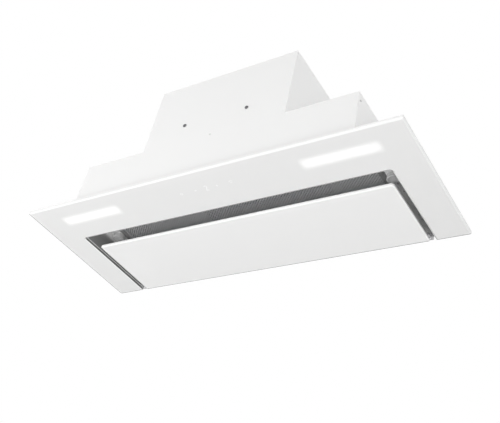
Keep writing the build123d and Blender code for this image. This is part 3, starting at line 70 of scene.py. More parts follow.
# ---- settings ----------------------------------------------------------------------------------------
class HoodGlassSettings(bpy.types.PropertyGroup):
    """The plate and the flap of back-printed glass."""

    arris: FloatProperty(
        name="Arris", description="Rounding ground onto the glass edges",
        default=0.3 * MM, min=0.0, unit="LENGTH",
    )
    blend: FloatProperty(
        name="Blend", description="Width of the soft line where the bevel runs out into the flat face",
        default=1.6 * MM, min=0.0, unit="LENGTH",
    )
    print_colour: FloatVectorProperty(
        name="Print Colour", description="White print on the back of the glass",
        default=(0.89, 0.89, 0.885), min=0.0, max=1.0, size=3, subtype="COLOR",
    )
    edge_shade: FloatProperty(
        name="Edge Shade", description="How dark a bevel gets that slopes away from the eye",
        default=0.75, min=0.0, max=1.0,
    )
    # Painted light: emission on the ground edges that face the eye, though the glass gives no light of its
    # own.
    painted_edge_light: FloatProperty(
        name="Edge Light", description="Light that comes out of the ground edges",
        default=0.10, min=0.0,
    )
    # Painted shade: a dark colour on the sides of the opening that face the middle of the hood, standing for
    # the shade that falls on them.
    side_shade_colour: FloatVectorProperty(
        name="Side Colour", description="Ground sides of the opening",
        default=(0.20, 0.20, 0.20), min=0.0, max=1.0, size=3, subtype="COLOR",
    )
    flap_colour: FloatVectorProperty(
        name="Flap Colour", description="White print on the back of the flap",
        default=(0.94, 0.94, 0.935), min=0.0, max=1.0, size=3, subtype="COLOR",
    )
    print_shift: FloatVectorProperty(
        name="Print Shift", description="How far refraction moves what is printed behind the glass",
        default=(3.1 * MM, -3.2 * MM), size=2, unit="LENGTH",
    )


class HoodLightSettings(bpy.types.PropertyGroup):
    """The two light windows."""

    blur: FloatProperty(
        name="Blur", description="Width of the soft edge round a lit window",
        default=15.0 * MM, min=0.0, unit="LENGTH",
    )
    glow: FloatProperty(
        name="Glow", description="Strength of the light in the windows", default=0.26, min=0.0,
    )


class HoodTouchSettings(bpy.types.PropertyGroup):
    """The touch keys printed on the glass."""

    key_size: FloatProperty(
        name="Key Size", description="Width of a key's sign", default=8.0 * MM, min=0.0, unit="LENGTH",
    )
    glow: FloatProperty(
        name="Glow", description="Light of the signs", default=0.04, min=0.0,
    )
    stroke: FloatProperty(
        name="Stroke", description="Width of the lines of the signs",
        default=1.9 * MM, min=0.0, unit="LENGTH",
    )
    thickness: FloatProperty(
        name="Ink Thickness", description="Thickness of the printed signs",
        default=0.04 * MM, min=0.0, unit="LENGTH",
    )


class HoodSteelSettings(bpy.types.PropertyGroup):
    """Pressed and folded sheet steel."""

    fold: FloatProperty(
        name="Fold", description="Rounding of the folded edges", default=0.35 * MM, min=0.0, unit="LENGTH",
    )
    coat_colour: FloatVectorProperty(
        name="Coat Colour", description="White powder coat of the housing",
        default=(0.89, 0.89, 0.885), min=0.0, max=1.0, size=3, subtype="COLOR",
    )
    tray_colour: FloatVectorProperty(
        name="Tray Colour", description="Grey powder coat of the intake tray",
        default=(0.92, 0.92, 0.915), min=0.0, max=1.0, size=3, subtype="COLOR",
    )
    # Painted shade: the dark colour of the tray's side walls stands for the shade in the recess, not for a
    # dark coat.
    wall_shade_colour: FloatVectorProperty(
        name="Wall Colour", description="The tray's side walls, which are coated dark",
        default=(0.30, 0.30, 0.30), min=0.0, max=1.0, size=3, subtype="COLOR",
    )


class HoodFilterSettings(bpy.types.PropertyGroup):
    """The grease filter's expanded mesh."""

    long_way: FloatProperty(
        name="Long Way", description="Length of one diamond", default=6.2 * MM, min=1.0 * MM, unit="LENGTH",
    )
    short_way: FloatProperty(
        name="Short Way", description="Height of one diamond", default=6.2 * MM, min=1.0 * MM, unit="LENGTH",
    )
    strand: FloatProperty(
        name="Strand", description="Width of one strand", default=2.3 * MM, min=0.1 * MM, unit="LENGTH",
    )
    sheet: FloatProperty(
        name="Sheet", description="Thickness of the sheet", default=0.3 * MM, min=0.1 * MM, unit="LENGTH",
    )
    twist: FloatProperty(
        name="Twist", description="How far the edges of every second row of strands lean out of the sheet",
        default=-0.75 * MM, unit="LENGTH",
    )
    # Painted shade: the darker colour of the flat faces round the mesh stands for the shade on the filter
    # frame.
    rail_shade_colour: FloatVectorProperty(
        name="Rail Colour", description="Flat faces of the frame round the mesh",
        default=(0.45, 0.45, 0.45), min=0.0, max=1.0, size=3, subtype="COLOR",
    )


class HoodFastenerSettings(bpy.types.PropertyGroup):
    """Screws and rivets."""

    recess: FloatProperty(
        name="Recess", description="Depth of the cross recess as a share of the head's height",
        default=0.7, min=0.1, max=0.95,
    )


class HoodStageSettings(bpy.types.PropertyGroup):
    """Camera, lamps, floor and surroundings."""

    camera_place: FloatVectorProperty(
        name="Camera Place", description="Where the camera stands",
        default=(0.75896, -0.90843, -0.81767), size=3, subtype="TRANSLATION", unit="LENGTH",
    )
    camera_azimuth: FloatProperty(
        name="Camera Azimuth", description="Direction that the camera looks from, round z from the front",
        default=math.radians(39.5697), subtype="ANGLE",
    )
    camera_elevation: FloatProperty(
        name="Camera Elevation", description="Direction that the camera looks from, above the horizon",
        default=math.radians(-38.7897), subtype="ANGLE",
    )
    camera_roll: FloatProperty(
        name="Camera Roll", description="Turn of the camera about its own axis",
        default=math.radians(13.4732), subtype="ANGLE",
    )
    lens: FloatProperty(
        name="Lens", description="Focal length for a sensor 36 mm wide, in millimetres",
        default=55.275, min=1.0,
    )
    shift_y: FloatProperty(
        name="Shift", description="Share of the picture's width by which the lens is shifted",
        default=-0.0827,
    )
    sky: FloatProperty(
        name="Sky", description="Even light from all round", default=0.50, min=0.0,
    )
    floor_height: FloatProperty(
        name="Floor Height", description="Height of the floor under the hanging hood",
        default=-2.0, unit="LENGTH",
    )


# ---- meshes ------------------------------------------------------------------------------------------
WELD = 0.001 * MM
FLAT_ANGLE = math.radians(0.5)
FOLD_ANGLE = math.radians(40)
ARRIS_ANGLE = math.radians(30)
BEVEL_ANGLE = math.radians(16)
SMOOTH_ANGLE = math.radians(38)


def settings(name):
    """One of the scene's property groups."""
    return getattr(bpy.context.scene, name)


def add_piece(name, bm, body="root", slot=None, replaces=()):
    """Turns a bmesh into a finished piece that rides on a body."""
    mesh = bpy.data.meshes.new(name)
    bm.to_mesh(mesh)
    bm.free()
    mesh.shade_smooth()
    mesh.set_sharp_from_angle(angle=SMOOTH_ANGLE)
    piece = bpy.data.objects.new(name, mesh)
    bpy.context.scene.collection.objects.link(piece)
    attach(piece, body)
    if slot:
        mesh.materials.append(FINISHES[slot]())
    if replaces:
        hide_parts(*replaces)
    return piece


def add_weighted_normals(piece):
    """Keeps large flat faces flat next to small rounded ones."""
    weighted = piece.modifiers.new("flat faces", "WEIGHTED_NORMAL")
    weighted.keep_sharp = True
    return piece


def merged_copy(node):
    """A node's mesh as a closed bmesh with its flat faces joined up."""
    bm = bmesh.new()
    bm.from_mesh(frame["nodes"][node].data)
    bmesh.ops.remove_doubles(bm, verts=bm.verts, dist=WELD)
    bmesh.ops.dissolve_limit(bm, angle_limit=FLAT_ANGLE, verts=bm.verts, edges=bm.edges)
    return bm


def round_edges(bm, width, segments=2, angle=FOLD_ANGLE):
    """Rounds every edge that turns by more than angle."""
    sharp = [e for e in bm.edges if e.is_manifold and e.calc_face_angle() > angle]
    bmesh.ops.bevel(
        bm, geom=sharp, offset=width, offset_type="OFFSET", segments=segments,
        profile=0.5, affect="EDGES", clamp_overlap=True, material=-1,
    )
    return bm


def rounded_nodes(nodes, width, slot_of=None):
    """Replaces each node by a copy of it with rounded edges."""
    for node in nodes:
        bm = round_edges(merged_copy(node), width)
        slot = slot_of or slot_for(node)
        piece = add_piece(f"{node}_finished", bm, body_of(node), slot, [node])
        add_weighted_normals(piece)


def slot_for(node):
    """The record's material slot of a node."""
    return next(p["material_slot"] for p in frame["record"]["subparts"] if p["node"] == node)


def body_of(node):
    """The body that a node belongs to."""
    bodies = frame["record"]["behaviour"]["bodies"]
    return next(name for name, nodes in bodies.items() if node in nodes)


# ---- shader nodes ------------------------------------------------------------------------------------
def add_node(tree, kind, inputs=None, **properties):
    """Adds a node, sets its properties, and sets or links its inputs."""
    node = tree.nodes.new(kind)
    for name, value in properties.items():
        setattr(node, name, value)
    for name, value in (inputs or {}).items():
        if isinstance(value, bpy.types.NodeSocket):
            tree.links.new(value, node.inputs[name])
        else:
            node.inputs[name].default_value = value
    return node


def math_node(tree, operation, *values, clamp=False):
    """A Math node's result."""
    node = add_node(tree, "ShaderNodeMath", dict(enumerate(values)), operation=operation)
    node.use_clamp = clamp
    return node.outputs[0]


def mix_colour(tree, factor, first, second, blend="MIX"):
    """A colour mixed from two."""
    node = tree.nodes.new("ShaderNodeMix")
    node.data_type = "RGBA"
    node.blend_type = blend
    for index, value in ((0, factor), (6, first), (7, second)):
        if isinstance(value, bpy.types.NodeSocket):
            tree.links.new(value, node.inputs[index])
        else:
            node.inputs[index].default_value = value
    return node.outputs[2]


def rgba(colour):
    """A colour with its alpha."""
    return (*colour[:3], 1.0)


def new_group(name, inputs, outputs):
    """An empty node group with named sockets, and its input and output nodes."""
    tree = bpy.data.node_groups.new(name, "ShaderNodeTree")
    for label, kind, default in inputs:
        socket = tree.interface.new_socket(label, in_out="INPUT", socket_type=f"NodeSocket{kind}")
        if default is not None:
            socket.default_value = default
    for label, kind in outputs:
        tree.interface.new_socket(label, in_out="OUTPUT", socket_type=f"NodeSocket{kind}")
    return tree, tree.nodes.new("NodeGroupInput").outputs, tree.nodes.new("NodeGroupOutput").inputs


SURFACE_INPUTS = [
    ("Vector", "Vector", None),
    ("Color", "Color", (0.8, 0.8, 0.8, 1.0)),
    ("Variation", "Float", 0.05),
    ("Roughness", "Float", 0.5),
    ("Depth", "Float", 0.02),
]
SURFACE_OUTPUTS = [("Color", "Color"), ("Roughness", "Float"), ("Normal", "Vector")]


def close_surface(tree, given, made, shade, height, distance):
    """Links a surface group's outputs: colour and roughness vary with shade, the normal with height."""
    centred = math_node(tree, "SUBTRACT", shade, 0.5)
    change = math_node(tree, "MULTIPLY", centred, given["Variation"])
    level = math_node(tree, "ADD", change, 1.0)
    tint = add_node(tree, "ShaderNodeCombineColor", {"Red": level, "Green": level, "Blue": level})
    tree.links.new(mix_colour(tree, 1.0, given["Color"], tint.outputs[0], "MULTIPLY"), made["Color"])
    rough = math_node(tree, "ADD", given["Roughness"], math_node(tree, "MULTIPLY", change, 1.5), clamp=True)
    tree.links.new(rough, made["Roughness"])
    bump = add_node(
        tree, "ShaderNodeBump", {"Strength": given["Depth"], "Distance": distance, "Height": height}
    )
    tree.links.new(bump.outputs["Normal"], made["Normal"])


def noise(tree, vector, scale, detail=2.0, roughness=0.5):
    """Noise between 0 and 1."""
    node = add_node(
        tree, "ShaderNodeTexNoise",
        {"Vector": vector, "Scale": scale, "Detail": detail, "Roughness": roughness},
    )
    return node.outputs[0]


def stretched(tree, vector, scale):
    """A vector scaled along each axis."""
    return add_node(tree, "ShaderNodeMapping", {"Vector": vector, "Scale": scale}).outputs[0]


def powder_coat_group():
    """Orange peel of a baked powder coat, with faint clouds and fine dust."""
    tree, given, made = new_group("Powder Coat", SURFACE_INPUTS, SURFACE_OUTPUTS)
    peel = noise(tree, given["Vector"], 900.0, 1.0)
    clouds = noise(tree, given["Vector"], 14.0, 3.0)
    dust = noise(tree, given["Vector"], 2600.0, 0.0)
    shade = math_node(
        tree, "ADD", math_node(tree, "MULTIPLY", clouds, 0.7), math_node(tree, "MULTIPLY", dust, 0.3)
    )
    close_surface(tree, given, made, shade, peel, 0.05 * MM)
    return tree


def polished_group():
    """Very smooth surface with faint wipe marks, such as glass."""
    tree, given, made = new_group("Polished", SURFACE_INPUTS, SURFACE_OUTPUTS)
    wipes = noise(tree, stretched(tree, given["Vector"], (6.0, 22.0, 22.0)), 1.0, 4.0, 0.6)
    ripple = noise(tree, given["Vector"], 18.0, 1.0)
    close_surface(tree, given, made, wipes, ripple, 0.5 * MM)
    return tree


def brushed_group():
    """Long fine scratches along x."""
    tree, given, made = new_group("Brushed", SURFACE_INPUTS, SURFACE_OUTPUTS)
    scratches = noise(tree, stretched(tree, given["Vector"], (30.0, 2400.0, 2400.0)), 1.0, 2.0)
    clouds = noise(tree, given["Vector"], 25.0, 2.0)
    shade = math_node(
        tree, "ADD", math_node(tree, "MULTIPLY", scratches, 0.6), math_node(tree, "MULTIPLY", clouds, 0.4)
    )
    close_surface(tree, given, made, shade, scratches, 0.03 * MM)
    return tree


def spangle_group():
    """Crystals of a galvanised sheet."""
    tree, given, made = new_group("Spangle", SURFACE_INPUTS, SURFACE_OUTPUTS)
    crystals = add_node(tree, "ShaderNodeTexVoronoi", {"Vector": given["Vector"], "Scale": 120.0})
    grey = add_node(tree, "ShaderNodeRGBToBW", {"Color": crystals.outputs["Color"]}).outputs[0]
    fine = noise(tree, given["Vector"], 700.0, 2.0)
    shade = math_node(
        tree, "ADD", math_node(tree, "MULTIPLY", grey, 0.7), math_node(tree, "MULTIPLY", fine, 0.3)
    )
    close_surface(tree, given, made, shade, fine, 0.03 * MM)
    return tree


def moulded_group():
    """Spark-eroded texture of moulded plastic, rubber and foam."""
    tree, given, made = new_group("Moulded", SURFACE_INPUTS, SURFACE_OUTPUTS)
    grain = noise(tree, given["Vector"], 1500.0, 3.0, 0.7)
    clouds = noise(tree, given["Vector"], 40.0, 2.0)
    shade = math_node(
        tree, "ADD", math_node(tree, "MULTIPLY", grain, 0.5), math_node(tree, "MULTIPLY", clouds, 0.5)
    )
    close_surface(tree, given, made, shade, grain, 0.06 * MM)
    return tree


GROUPS = {
    "Powder Coat": powder_coat_group,
    "Polished": polished_group,
    "Brushed": brushed_group,
    "Spangle": spangle_group,
    "Moulded": moulded_group,
}


def surface(name, group, colour, variation, roughness, depth, metallic=0.0, specular=0.5, coat=0.0):
    """A material whose colour, roughness and normal come from one of the surface groups."""
    if name in bpy.data.materials:
        return bpy.data.materials[name], None, None
    material = bpy.data.materials.new(name)
    material.use_nodes = True
    material.diffuse_color = rgba(colour)
    tree = material.node_tree
    shader = tree.nodes["Principled BSDF"]
    place = tree.nodes.new("ShaderNodeTexCoord").outputs["Object"]
    if group not in bpy.data.node_groups:
        GROUPS[group]()
    texture = add_node(tree, "ShaderNodeGroup", node_tree=bpy.data.node_groups[group])
    tree.links.new(place, texture.inputs["Vector"])
    texture.inputs["Color"].default_value = rgba(colour)
    texture.inputs["Variation"].default_value = variation
    texture.inputs["Roughness"].default_value = roughness
    texture.inputs["Depth"].default_value = depth
    tree.links.new(texture.outputs["Color"], shader.inputs["Base Color"])
    tree.links.new(texture.outputs["Roughness"], shader.inputs["Roughness"])
    tree.links.new(texture.outputs["Normal"], shader.inputs["Normal"])
    shader.inputs["Metallic"].default_value = metallic
    shader.inputs["Specular IOR Level"].default_value = specular
    shader.inputs["Coat Weight"].default_value = coat
    shader.inputs["Coat Roughness"].default_value = 0.05
    return material, tree, shader


def plain(*values, **named):
    """A maker of one of the plain surfaces."""
    return lambda: surface(*values, **named)[0]


# ---- finishes ----------------------------------------------------------------------------------------
def window_mask(tree, place):
    """1 inside the two light windows on the glass, with a soft edge."""
    low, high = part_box("led_diffusers")
    centre_x = middle("led_housing_right").x
    half_l = high.x - centre_x
    half_w = (high.y - low.y) / 2
    blur = settings("hood_lights").blur
    shift = (*settings("hood_glass").print_shift, 0.0)
    behind = add_node(
        tree, "ShaderNodeVectorMath", {0: place, 1: shift}, operation="SUBTRACT"
    )
    axes = add_node(tree, "ShaderNodeSeparateXYZ", {"Vector": behind.outputs[0]}).outputs
    from_centre = math_node(tree, "SUBTRACT", math_node(tree, "ABSOLUTE", axes[0]), centre_x)
    past_end = math_node(tree, "SUBTRACT", math_node(tree, "ABSOLUTE", from_centre), half_l)
    from_line = math_node(tree, "SUBTRACT", axes[1], (low.y + high.y) / 2)
    past_side = math_node(tree, "SUBTRACT", math_node(tree, "ABSOLUTE", from_line), half_w)
    outside = math_node(tree, "SMOOTH_MAX", past_end, past_side, blur)
    fade = add_node(
        tree, "ShaderNodeMapRange",
        {"Value": outside, "From Min": -blur / 2, "From Max": blur / 2, "To Min": 1.0, "To Max": 0.0},
        interpolation_type="SMOOTHSTEP",
    )
    below = math_node(tree, "LESS_THAN", axes[2], 1.0 * MM)
    return math_node(tree, "MULTIPLY", fade.outputs[0], below)


def ramp(tree, value, start, end):
    """A smooth step from 0 at start to 1 at end."""
    inputs = {"Value": value, "From Min": start, "From Max": end}
    return add_node(tree, "ShaderNodeMapRange", inputs, interpolation_type="SMOOTHSTEP").outputs[0]


def inward_slope(tree):
    """-1 on a side that faces the middle of the hood, 1 on a side that faces away from it."""
    coordinates = tree.nodes["Texture Coordinate"].outputs
    way = add_node(tree, "ShaderNodeSeparateXYZ", {"Vector": coordinates["Normal"]}).outputs[0]
    place = add_node(tree, "ShaderNodeSeparateXYZ", {"Vector": coordinates["Object"]}).outputs[0]
    return math_node(tree, "MULTIPLY", way, math_node(tree, "SIGN", place))


def white_glass():
    """Polished clear glass with white print behind it, lit through its two windows, with painted shade on
    the sides of the opening and painted light on the edges that face the eye.
    """
    glass = settings("hood_glass")
    glow = settings("hood_lights").glow
    material, tree, shader = surface("white glass", "Polished", glass.print_colour, 0.015, 0.07, 0.05)
    if tree is None:
        return material
    place = tree.nodes["Texture Coordinate"].outputs["Object"]
    spot = add_node(tree, "ShaderNodeSeparateXYZ", {"Vector": place}).outputs
    low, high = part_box("flap_glass")
    behind = math_node(tree, "GREATER_THAN", spot[1], low.y - 1.0 * MM)
    beside = math_node(tree, "LESS_THAN", math_node(tree, "ABSOLUTE", spot[0]), high.x + 1.0 * MM)
    on_flap = math_node(tree, "MULTIPLY", behind, beside)
    tree.links.new(
        mix_colour(tree, on_flap, rgba(glass.print_colour), rgba(glass.flap_colour)),
        tree.nodes["Group"].inputs["Color"],
    )
    normal = tree.nodes["Texture Coordinate"].outputs["Normal"]
    way = add_node(tree, "ShaderNodeSeparateXYZ", {"Vector": normal}).outputs
    slope = math_node(tree, "ABSOLUTE", way[2])
    # Painted shade: sides that face the middle of the hood take the dark side colour.
    side = ramp(tree, inward_slope(tree), -0.5, -0.9)
    facing = add_node(tree, "ShaderNodeLayerWeight").outputs["Facing"]
    ground = ramp(tree, slope, 0.998, 0.965)
    bevel = math_node(tree, "MULTIPLY", ground, math_node(tree, "GREATER_THAN", slope, 0.5))
    away = math_node(tree, "MULTIPLY", bevel, ramp(tree, facing, 0.42, 0.66))
    shade = math_node(tree, "MULTIPLY", away, glass.edge_shade)
    colour = mix_colour(tree, shade, tree.nodes["Group"].outputs["Color"], (0.05, 0.05, 0.05, 1.0))
    colour = mix_colour(tree, side, colour, rgba(glass.side_shade_colour))
    tree.links.new(colour, shader.inputs["Base Color"])
    # Painted light: ground edges that face the eye get emission of their own, except on the sides painted
    # with shade.
    painted_edge_glow = math_node(tree, "MULTIPLY", ground, ramp(tree, facing, 0.55, 0.3))
    painted_edge_glow = math_node(tree, "MULTIPLY", painted_edge_glow, math_node(tree, "SUBTRACT", 1.0, side))
    window = math_node(tree, "MULTIPLY", window_mask(tree, place), glow)
    light = math_node(tree, "ADD", window, math_node(tree, "MULTIPLY", painted_edge_glow, glass.painted_edge_light))
    lit = add_node(tree, "ShaderNodeCombineColor", {"Red": light, "Green": light, "Blue": light})
    tree.links.new(lit.outputs[0], shader.inputs["Emission Color"])
    shader.inputs["Emission Strength"].default_value = 1.0
    return material


def white_steel():
    """White powder coat."""
    colour = settings("hood_steel").coat_colour
    return surface("white powder coat", "Powder Coat", colour, 0.02, 0.42, 0.25)[0]


def tray_steel():
    """Pale grey powder coat of the recess, with painted shade on its side walls."""
    steel = settings("hood_steel")
    material, tree, _ = surface("grey powder coat", "Powder Coat", steel.tray_colour, 0.05, 0.48, 0.3)
    if tree is None:
        return material
    # Painted shade: walls that face the middle of the hood take the dark wall colour.
    painted_wall_shade = ramp(tree, inward_slope(tree), -0.4, -0.9)
    colour = mix_colour(tree, painted_wall_shade, rgba(steel.tray_colour), rgba(steel.wall_shade_colour))
    tree.links.new(colour, tree.nodes["Group"].inputs["Color"])
    return material


def drawn_aluminium():
    """Aluminium of the grease filter: pale strands, with painted shade on the flat faces of the rails."""
    pale = (0.92, 0.92, 0.93)
    material, tree, _ = surface("drawn aluminium", "Brushed", pale, 0.15, 0.35, 0.2, metallic=0.6)
    if tree is None:
        return material
    normal = tree.nodes["Texture Coordinate"].outputs["Normal"]
    upright = math_node(
        tree, "ABSOLUTE", add_node(tree, "ShaderNodeSeparateXYZ", {"Vector": normal}).outputs[2]
    )
    # Painted shade: flat faces, which are the frame's rails, take the darker rail colour.
    flat = ramp(tree, upright, 0.95, 0.99)
    colour = mix_colour(tree, flat, rgba(pale), rgba(settings("hood_filter").rail_shade_colour))
    tree.links.new(colour, tree.nodes["Group"].inputs["Color"])
    return material


def circuit_board():
    """Green board with paler tracks."""
    material, tree, _ = surface("printed circuit", "Moulded", (0.02, 0.16, 0.07), 0.25, 0.4, 0.1)
    if tree is None:
        return material
    place = tree.nodes["Texture Coordinate"].outputs["Object"]
    bricks = add_node(
        tree, "ShaderNodeTexBrick",
        {
            "Vector": place, "Color1": (0.02, 0.16, 0.07, 1.0), "Color2": (0.03, 0.19, 0.08, 1.0),
            "Mortar": (0.10, 0.36, 0.14, 1.0), "Scale": 160.0, "Mortar Size": 0.03,
        },
    )
    tree.links.new(bricks.outputs["Color"], tree.nodes["Group"].inputs["Color"])
    return material


FINISHES = {
    "white_glass": white_glass,
    "white_steel": white_steel,
    "tray_steel": tray_steel,
    "zinc_steel": plain("galvanised sheet", "Spangle", (0.56, 0.58, 0.60), 0.35, 0.38, 0.2, metallic=0.9),
    "steel": plain("zinc plate", "Brushed", (0.62, 0.62, 0.63), 0.2, 0.36, 0.25, metallic=0.6),
    "screw_steel": plain("bright zinc", "Brushed", (0.66, 0.65, 0.62), 0.15, 0.25, 0.15, metallic=1.0),
    "dark_screw": plain("black oxide", "Moulded", (0.16, 0.16, 0.165), 0.3, 0.4, 0.2, metallic=0.4),
    "filter_aluminium": drawn_aluminium,
    "motor_aluminium": plain("cast aluminium", "Moulded", (0.60, 0.60, 0.61), 0.15, 0.5, 0.5, metallic=0.8),
    "copper_winding": plain("enamelled copper", "Brushed", (0.52, 0.22, 0.10), 0.4, 0.3, 0.6, metallic=0.8),
    "magnet": plain("nickel", "Brushed", (0.92, 0.92, 0.92), 0.1, 0.35, 0.1, metallic=0.2),
    "dark_plastic": plain("black moulding", "Moulded", (0.035, 0.035, 0.036), 0.2, 0.5, 0.4),
    "grey_plastic": plain("grey moulding", "Moulded", (0.70, 0.70, 0.70), 0.12, 0.5, 0.4),
    "collar_plastic": plain("dark grey moulding", "Moulded", (0.07, 0.075, 0.08), 0.2, 0.48, 0.5),
    "circuit_board": circuit_board,
    "opal": plain("opal diffuser", "Polished", (0.88, 0.88, 0.87), 0.02, 0.3, 0.05),
    "rubber": plain("black rubber", "Moulded", (0.02, 0.02, 0.02), 0.2, 0.7, 0.5),
    "foam": plain("closed cell foam", "Moulded", (0.05, 0.05, 0.05), 0.5, 0.9, 1.0),
}


# ---- glass and touch keys ----------------------------------------------------------------------------
class HOOD_OT_glass(bpy.types.Operator):
    """Model the glass plate and the flap with ground edges"""

    bl_idname = "hood.glass"
    bl_label = "Glass Plate and Flap"

    def execute(self, context):
        glass = context.scene.hood_glass
        for node in ("glass_frame", "flap_glass"):
            bm = round_edges(merged_copy(node), glass.arris, 2, ARRIS_ANGLE)
            bm = round_edges(bm, glass.blend, 4, BEVEL_ANGLE)
            piece = add_piece(f"{node}_ground", bm, body_of(node), "white_glass", [node])
            add_weighted_normals(piece)
        return {"FINISHED"}


def flat_stroke(bm, points, width):
    """A flat stroke through points, with mitred corners."""
    points = [Vector(p) for p in points]
    ways = [(b - a).normalized() for a, b in zip(points, points[1:])]
    ways = [ways[0], *ways, ways[-1]]
    rows = []
    for point, before, after in zip(points, ways, ways[1:]):
        along = (before + after).normalized()
        across = Vector((-along.y, along.x, 0.0)) * (width / 2 / along.dot(after))
        rows.append([bm.verts.new(point - across), bm.verts.new(point + across)])
    for (a, b), (c, d) in zip(rows, rows[1:]):
        bm.faces.new((a, c, d, b))


def arc(centre, radius, start, end, steps):
    """Points on an arc between two angles in degrees."""
    angles = [math.radians(start + (end - start) * i / steps) for i in range(steps + 1)]
    return [centre + radius * Vector((math.cos(a), math.sin(a), 0.0)) for a in angles]


def power_sign(bm, centre, size, stroke):
    """An open ring with a bar in its gap."""
    radius = size * 0.3
    flat_stroke(bm, arc(centre, radius, 125, 415, 20), stroke * 0.7)
    flat_stroke(bm, [centre + Vector((0, share * size, 0)) for share in (0.08, 0.42)], stroke * 0.6)


def minus_sign(bm, centre, size, stroke):
    """A short bar."""
    half = Vector((size * 0.28, 0, 0))
    flat_stroke(bm, [centre - half, centre + half], stroke * 1.3)


def plus_sign(bm, centre, size, stroke):
    """Two crossed bars that meet without lying on each other."""
    half = size * 0.3
    flat_stroke(bm, [centre - Vector((half, 0, 0)), centre + Vector((half, 0, 0))], stroke * 0.8)
    for side in (-1, 1):
        start = centre + Vector((0, side * stroke * 0.4, 0))
        flat_stroke(bm, [start, centre + Vector((0, side * half, 0))], stroke * 0.8)


def digit_sign(bm, centre, size, stroke):
    """A figure 2, the fan's speed."""
    radius = size * 0.3
    top = centre + Vector((0, size * 0.45, 0))
    foot = centre - Vector((radius, size * 0.75, 0))
    points = [*arc(top, radius, 165, -35, 10), foot, foot + Vector((radius * 2.1, 0, 0))]
    flat_stroke(bm, points, stroke)


def lamp_sign(bm, centre, size, stroke):
    """A lamp: a shade over a bulb."""
    flat_stroke(bm, arc(centre, size * 0.45, 20, 160, 12), stroke * 0.8)
    flat_stroke(bm, arc(centre, size * 0.2, 180, 360, 8), stroke * 0.7)


# each key's place along the display, and its sign
KEY_SIGNS = (
    (-50.0 * MM, power_sign),
    (-18.4 * MM, minus_sign),
    (5.3 * MM, digit_sign),
    (28.2 * MM, plus_sign),
    (58.1 * MM, lamp_sign),
)


class HOOD_OT_touch_keys(bpy.types.Operator):
    """Print the signs of the touch keys on the glass"""

    bl_idname = "hood.touch_keys"
    bl_label = "Touch Keys"

    def execute(self, context):
        keys = context.scene.hood_touch
        bm = bmesh.new()
        shift = context.scene.hood_glass.print_shift
        line = middle("touch_board").y + shift[1]
        for x, sign in KEY_SIGNS:
            sign(bm, Vector((x + shift[0], line, 0.0)), keys.key_size, keys.stroke)
        # the signs are read from below, with their tops towards the front
        for vert in bm.verts:
            vert.co.y = 2 * line - vert.co.y
        bmesh.ops.recalc_face_normals(bm, faces=bm.faces)
        top = bmesh.ops.extrude_face_region(bm, geom=bm.faces[:])["geom"]
        low = [v for v in top if isinstance(v, bmesh.types.BMVert)]
        bmesh.ops.translate(bm, verts=low, vec=(0.0, 0.0, -keys.thickness))
        bmesh.ops.recalc_face_normals(bm, faces=bm.faces)
        piece = add_piece("touch_signs", bm)
        ink, _, shader = surface("pale ink", "Polished", (0.97, 0.97, 0.97), 0.02, 0.2, 0.02)
        shader.inputs["Emission Color"].default_value = (1.0, 1.0, 1.0, 1.0)
        shader.inputs["Emission Strength"].default_value = keys.glow
        piece.data.materials.append(ink)
        return {"FINISHED"}


# ---- sheet steel -------------------------------------------------------------------------------------
class HOOD_OT_housing(bpy.types.Operator):
    """Model the folded sheets of the housing"""

    bl_idname = "hood.housing"
    bl_label = "Housing Sheets"

    def execute(self, context):
        fold = context.scene.hood_steel.fold
        rounded_nodes(
            ("lower_housing", "upper_housing", "front_cover", "top_plate", "carrier_frame", "front_brace"),
            fold,
        )
        return {"FINISHED"}


class HOOD_OT_intake(bpy.types.Operator):
    """Model the pressed tray and the flap's backing"""

    bl_idname = "hood.intake"
    bl_label = "Intake Tray"

    def execute(self, context):
        rounded_nodes(("intake_tray", "flap_tray"), context.scene.hood_steel.fold)
        return {"FINISHED"}


class HOOD_OT_hinges(bpy.types.Operator):
    """Model the flap's hinges, catches and strikes"""

    bl_idname = "hood.hinges"
    bl_label = "Hinges and Catches"

    def execute(self, context):
        pairs = ("hinge_arm", "hinge_bracket", "strike")
        nodes = [f"{name}_{side}" for name in pairs for side in ("left", "right")]
        rounded_nodes([*nodes, "catch_magnets", "hinge_pins"], 0.2 * MM)
        rounded_nodes(("catch_cup_left", "catch_cup_right"), 0.4 * MM, "grey_plastic")
        return {"FINISHED"}


# ---- grease filter -----------------------------------------------------------------------------------
BOND_SHARE = 0.72


def mesh_cell(bm, long_way, short_way, strand, twist):
    """One cell of expanded metal: an X of four strands, whose ends are quarters of the next bonds."""
    bond = strand * BOND_SHARE
    centre = Vector((long_way / 2, short_way / 2, 0.0))

    def point(x, y, lean):
        return bm.verts.new((x, y, lean * twist))

    east = point(centre.x + bond, centre.y, 1)
    west = point(centre.x - bond, centre.y, -1)
    north = point(centre.x, centre.y + bond, -1)
    south = point(centre.x, centre.y - bond, 1)
    bm.faces.new((east, north, west, south))
    for side_x, inner_x in ((1, east), (-1, west)):
        for side_y, inner_y in ((1, north), (-1, south)):
            corner = centre + Vector((side_x * long_way / 2, side_y * short_way / 2, 0.0))
            ring = (
                inner_x,
                point(corner.x, corner.y - side_y * bond, side_y),
                point(corner.x, corner.y, 0),
                point(corner.x - side_x * bond, corner.y, -side_x),
                inner_y,
            )
            bm.faces.new(ring if side_x * side_y > 0 else ring[::-1])


def repeat(bm, count, step):
    """Repeats all that is in the bmesh along a line."""
    first = bm.verts[:] + bm.edges[:] + bm.faces[:]
    for index in range(1, count):
        made = bmesh.ops.duplicate(bm, geom=first)["geom"]
        moved = [v for v in made if isinstance(v, bmesh.types.BMVert)]
        bmesh.ops.translate(bm, verts=moved, vec=step * index)
    bmesh.ops.remove_doubles(bm, verts=bm.verts, dist=WELD * 10)


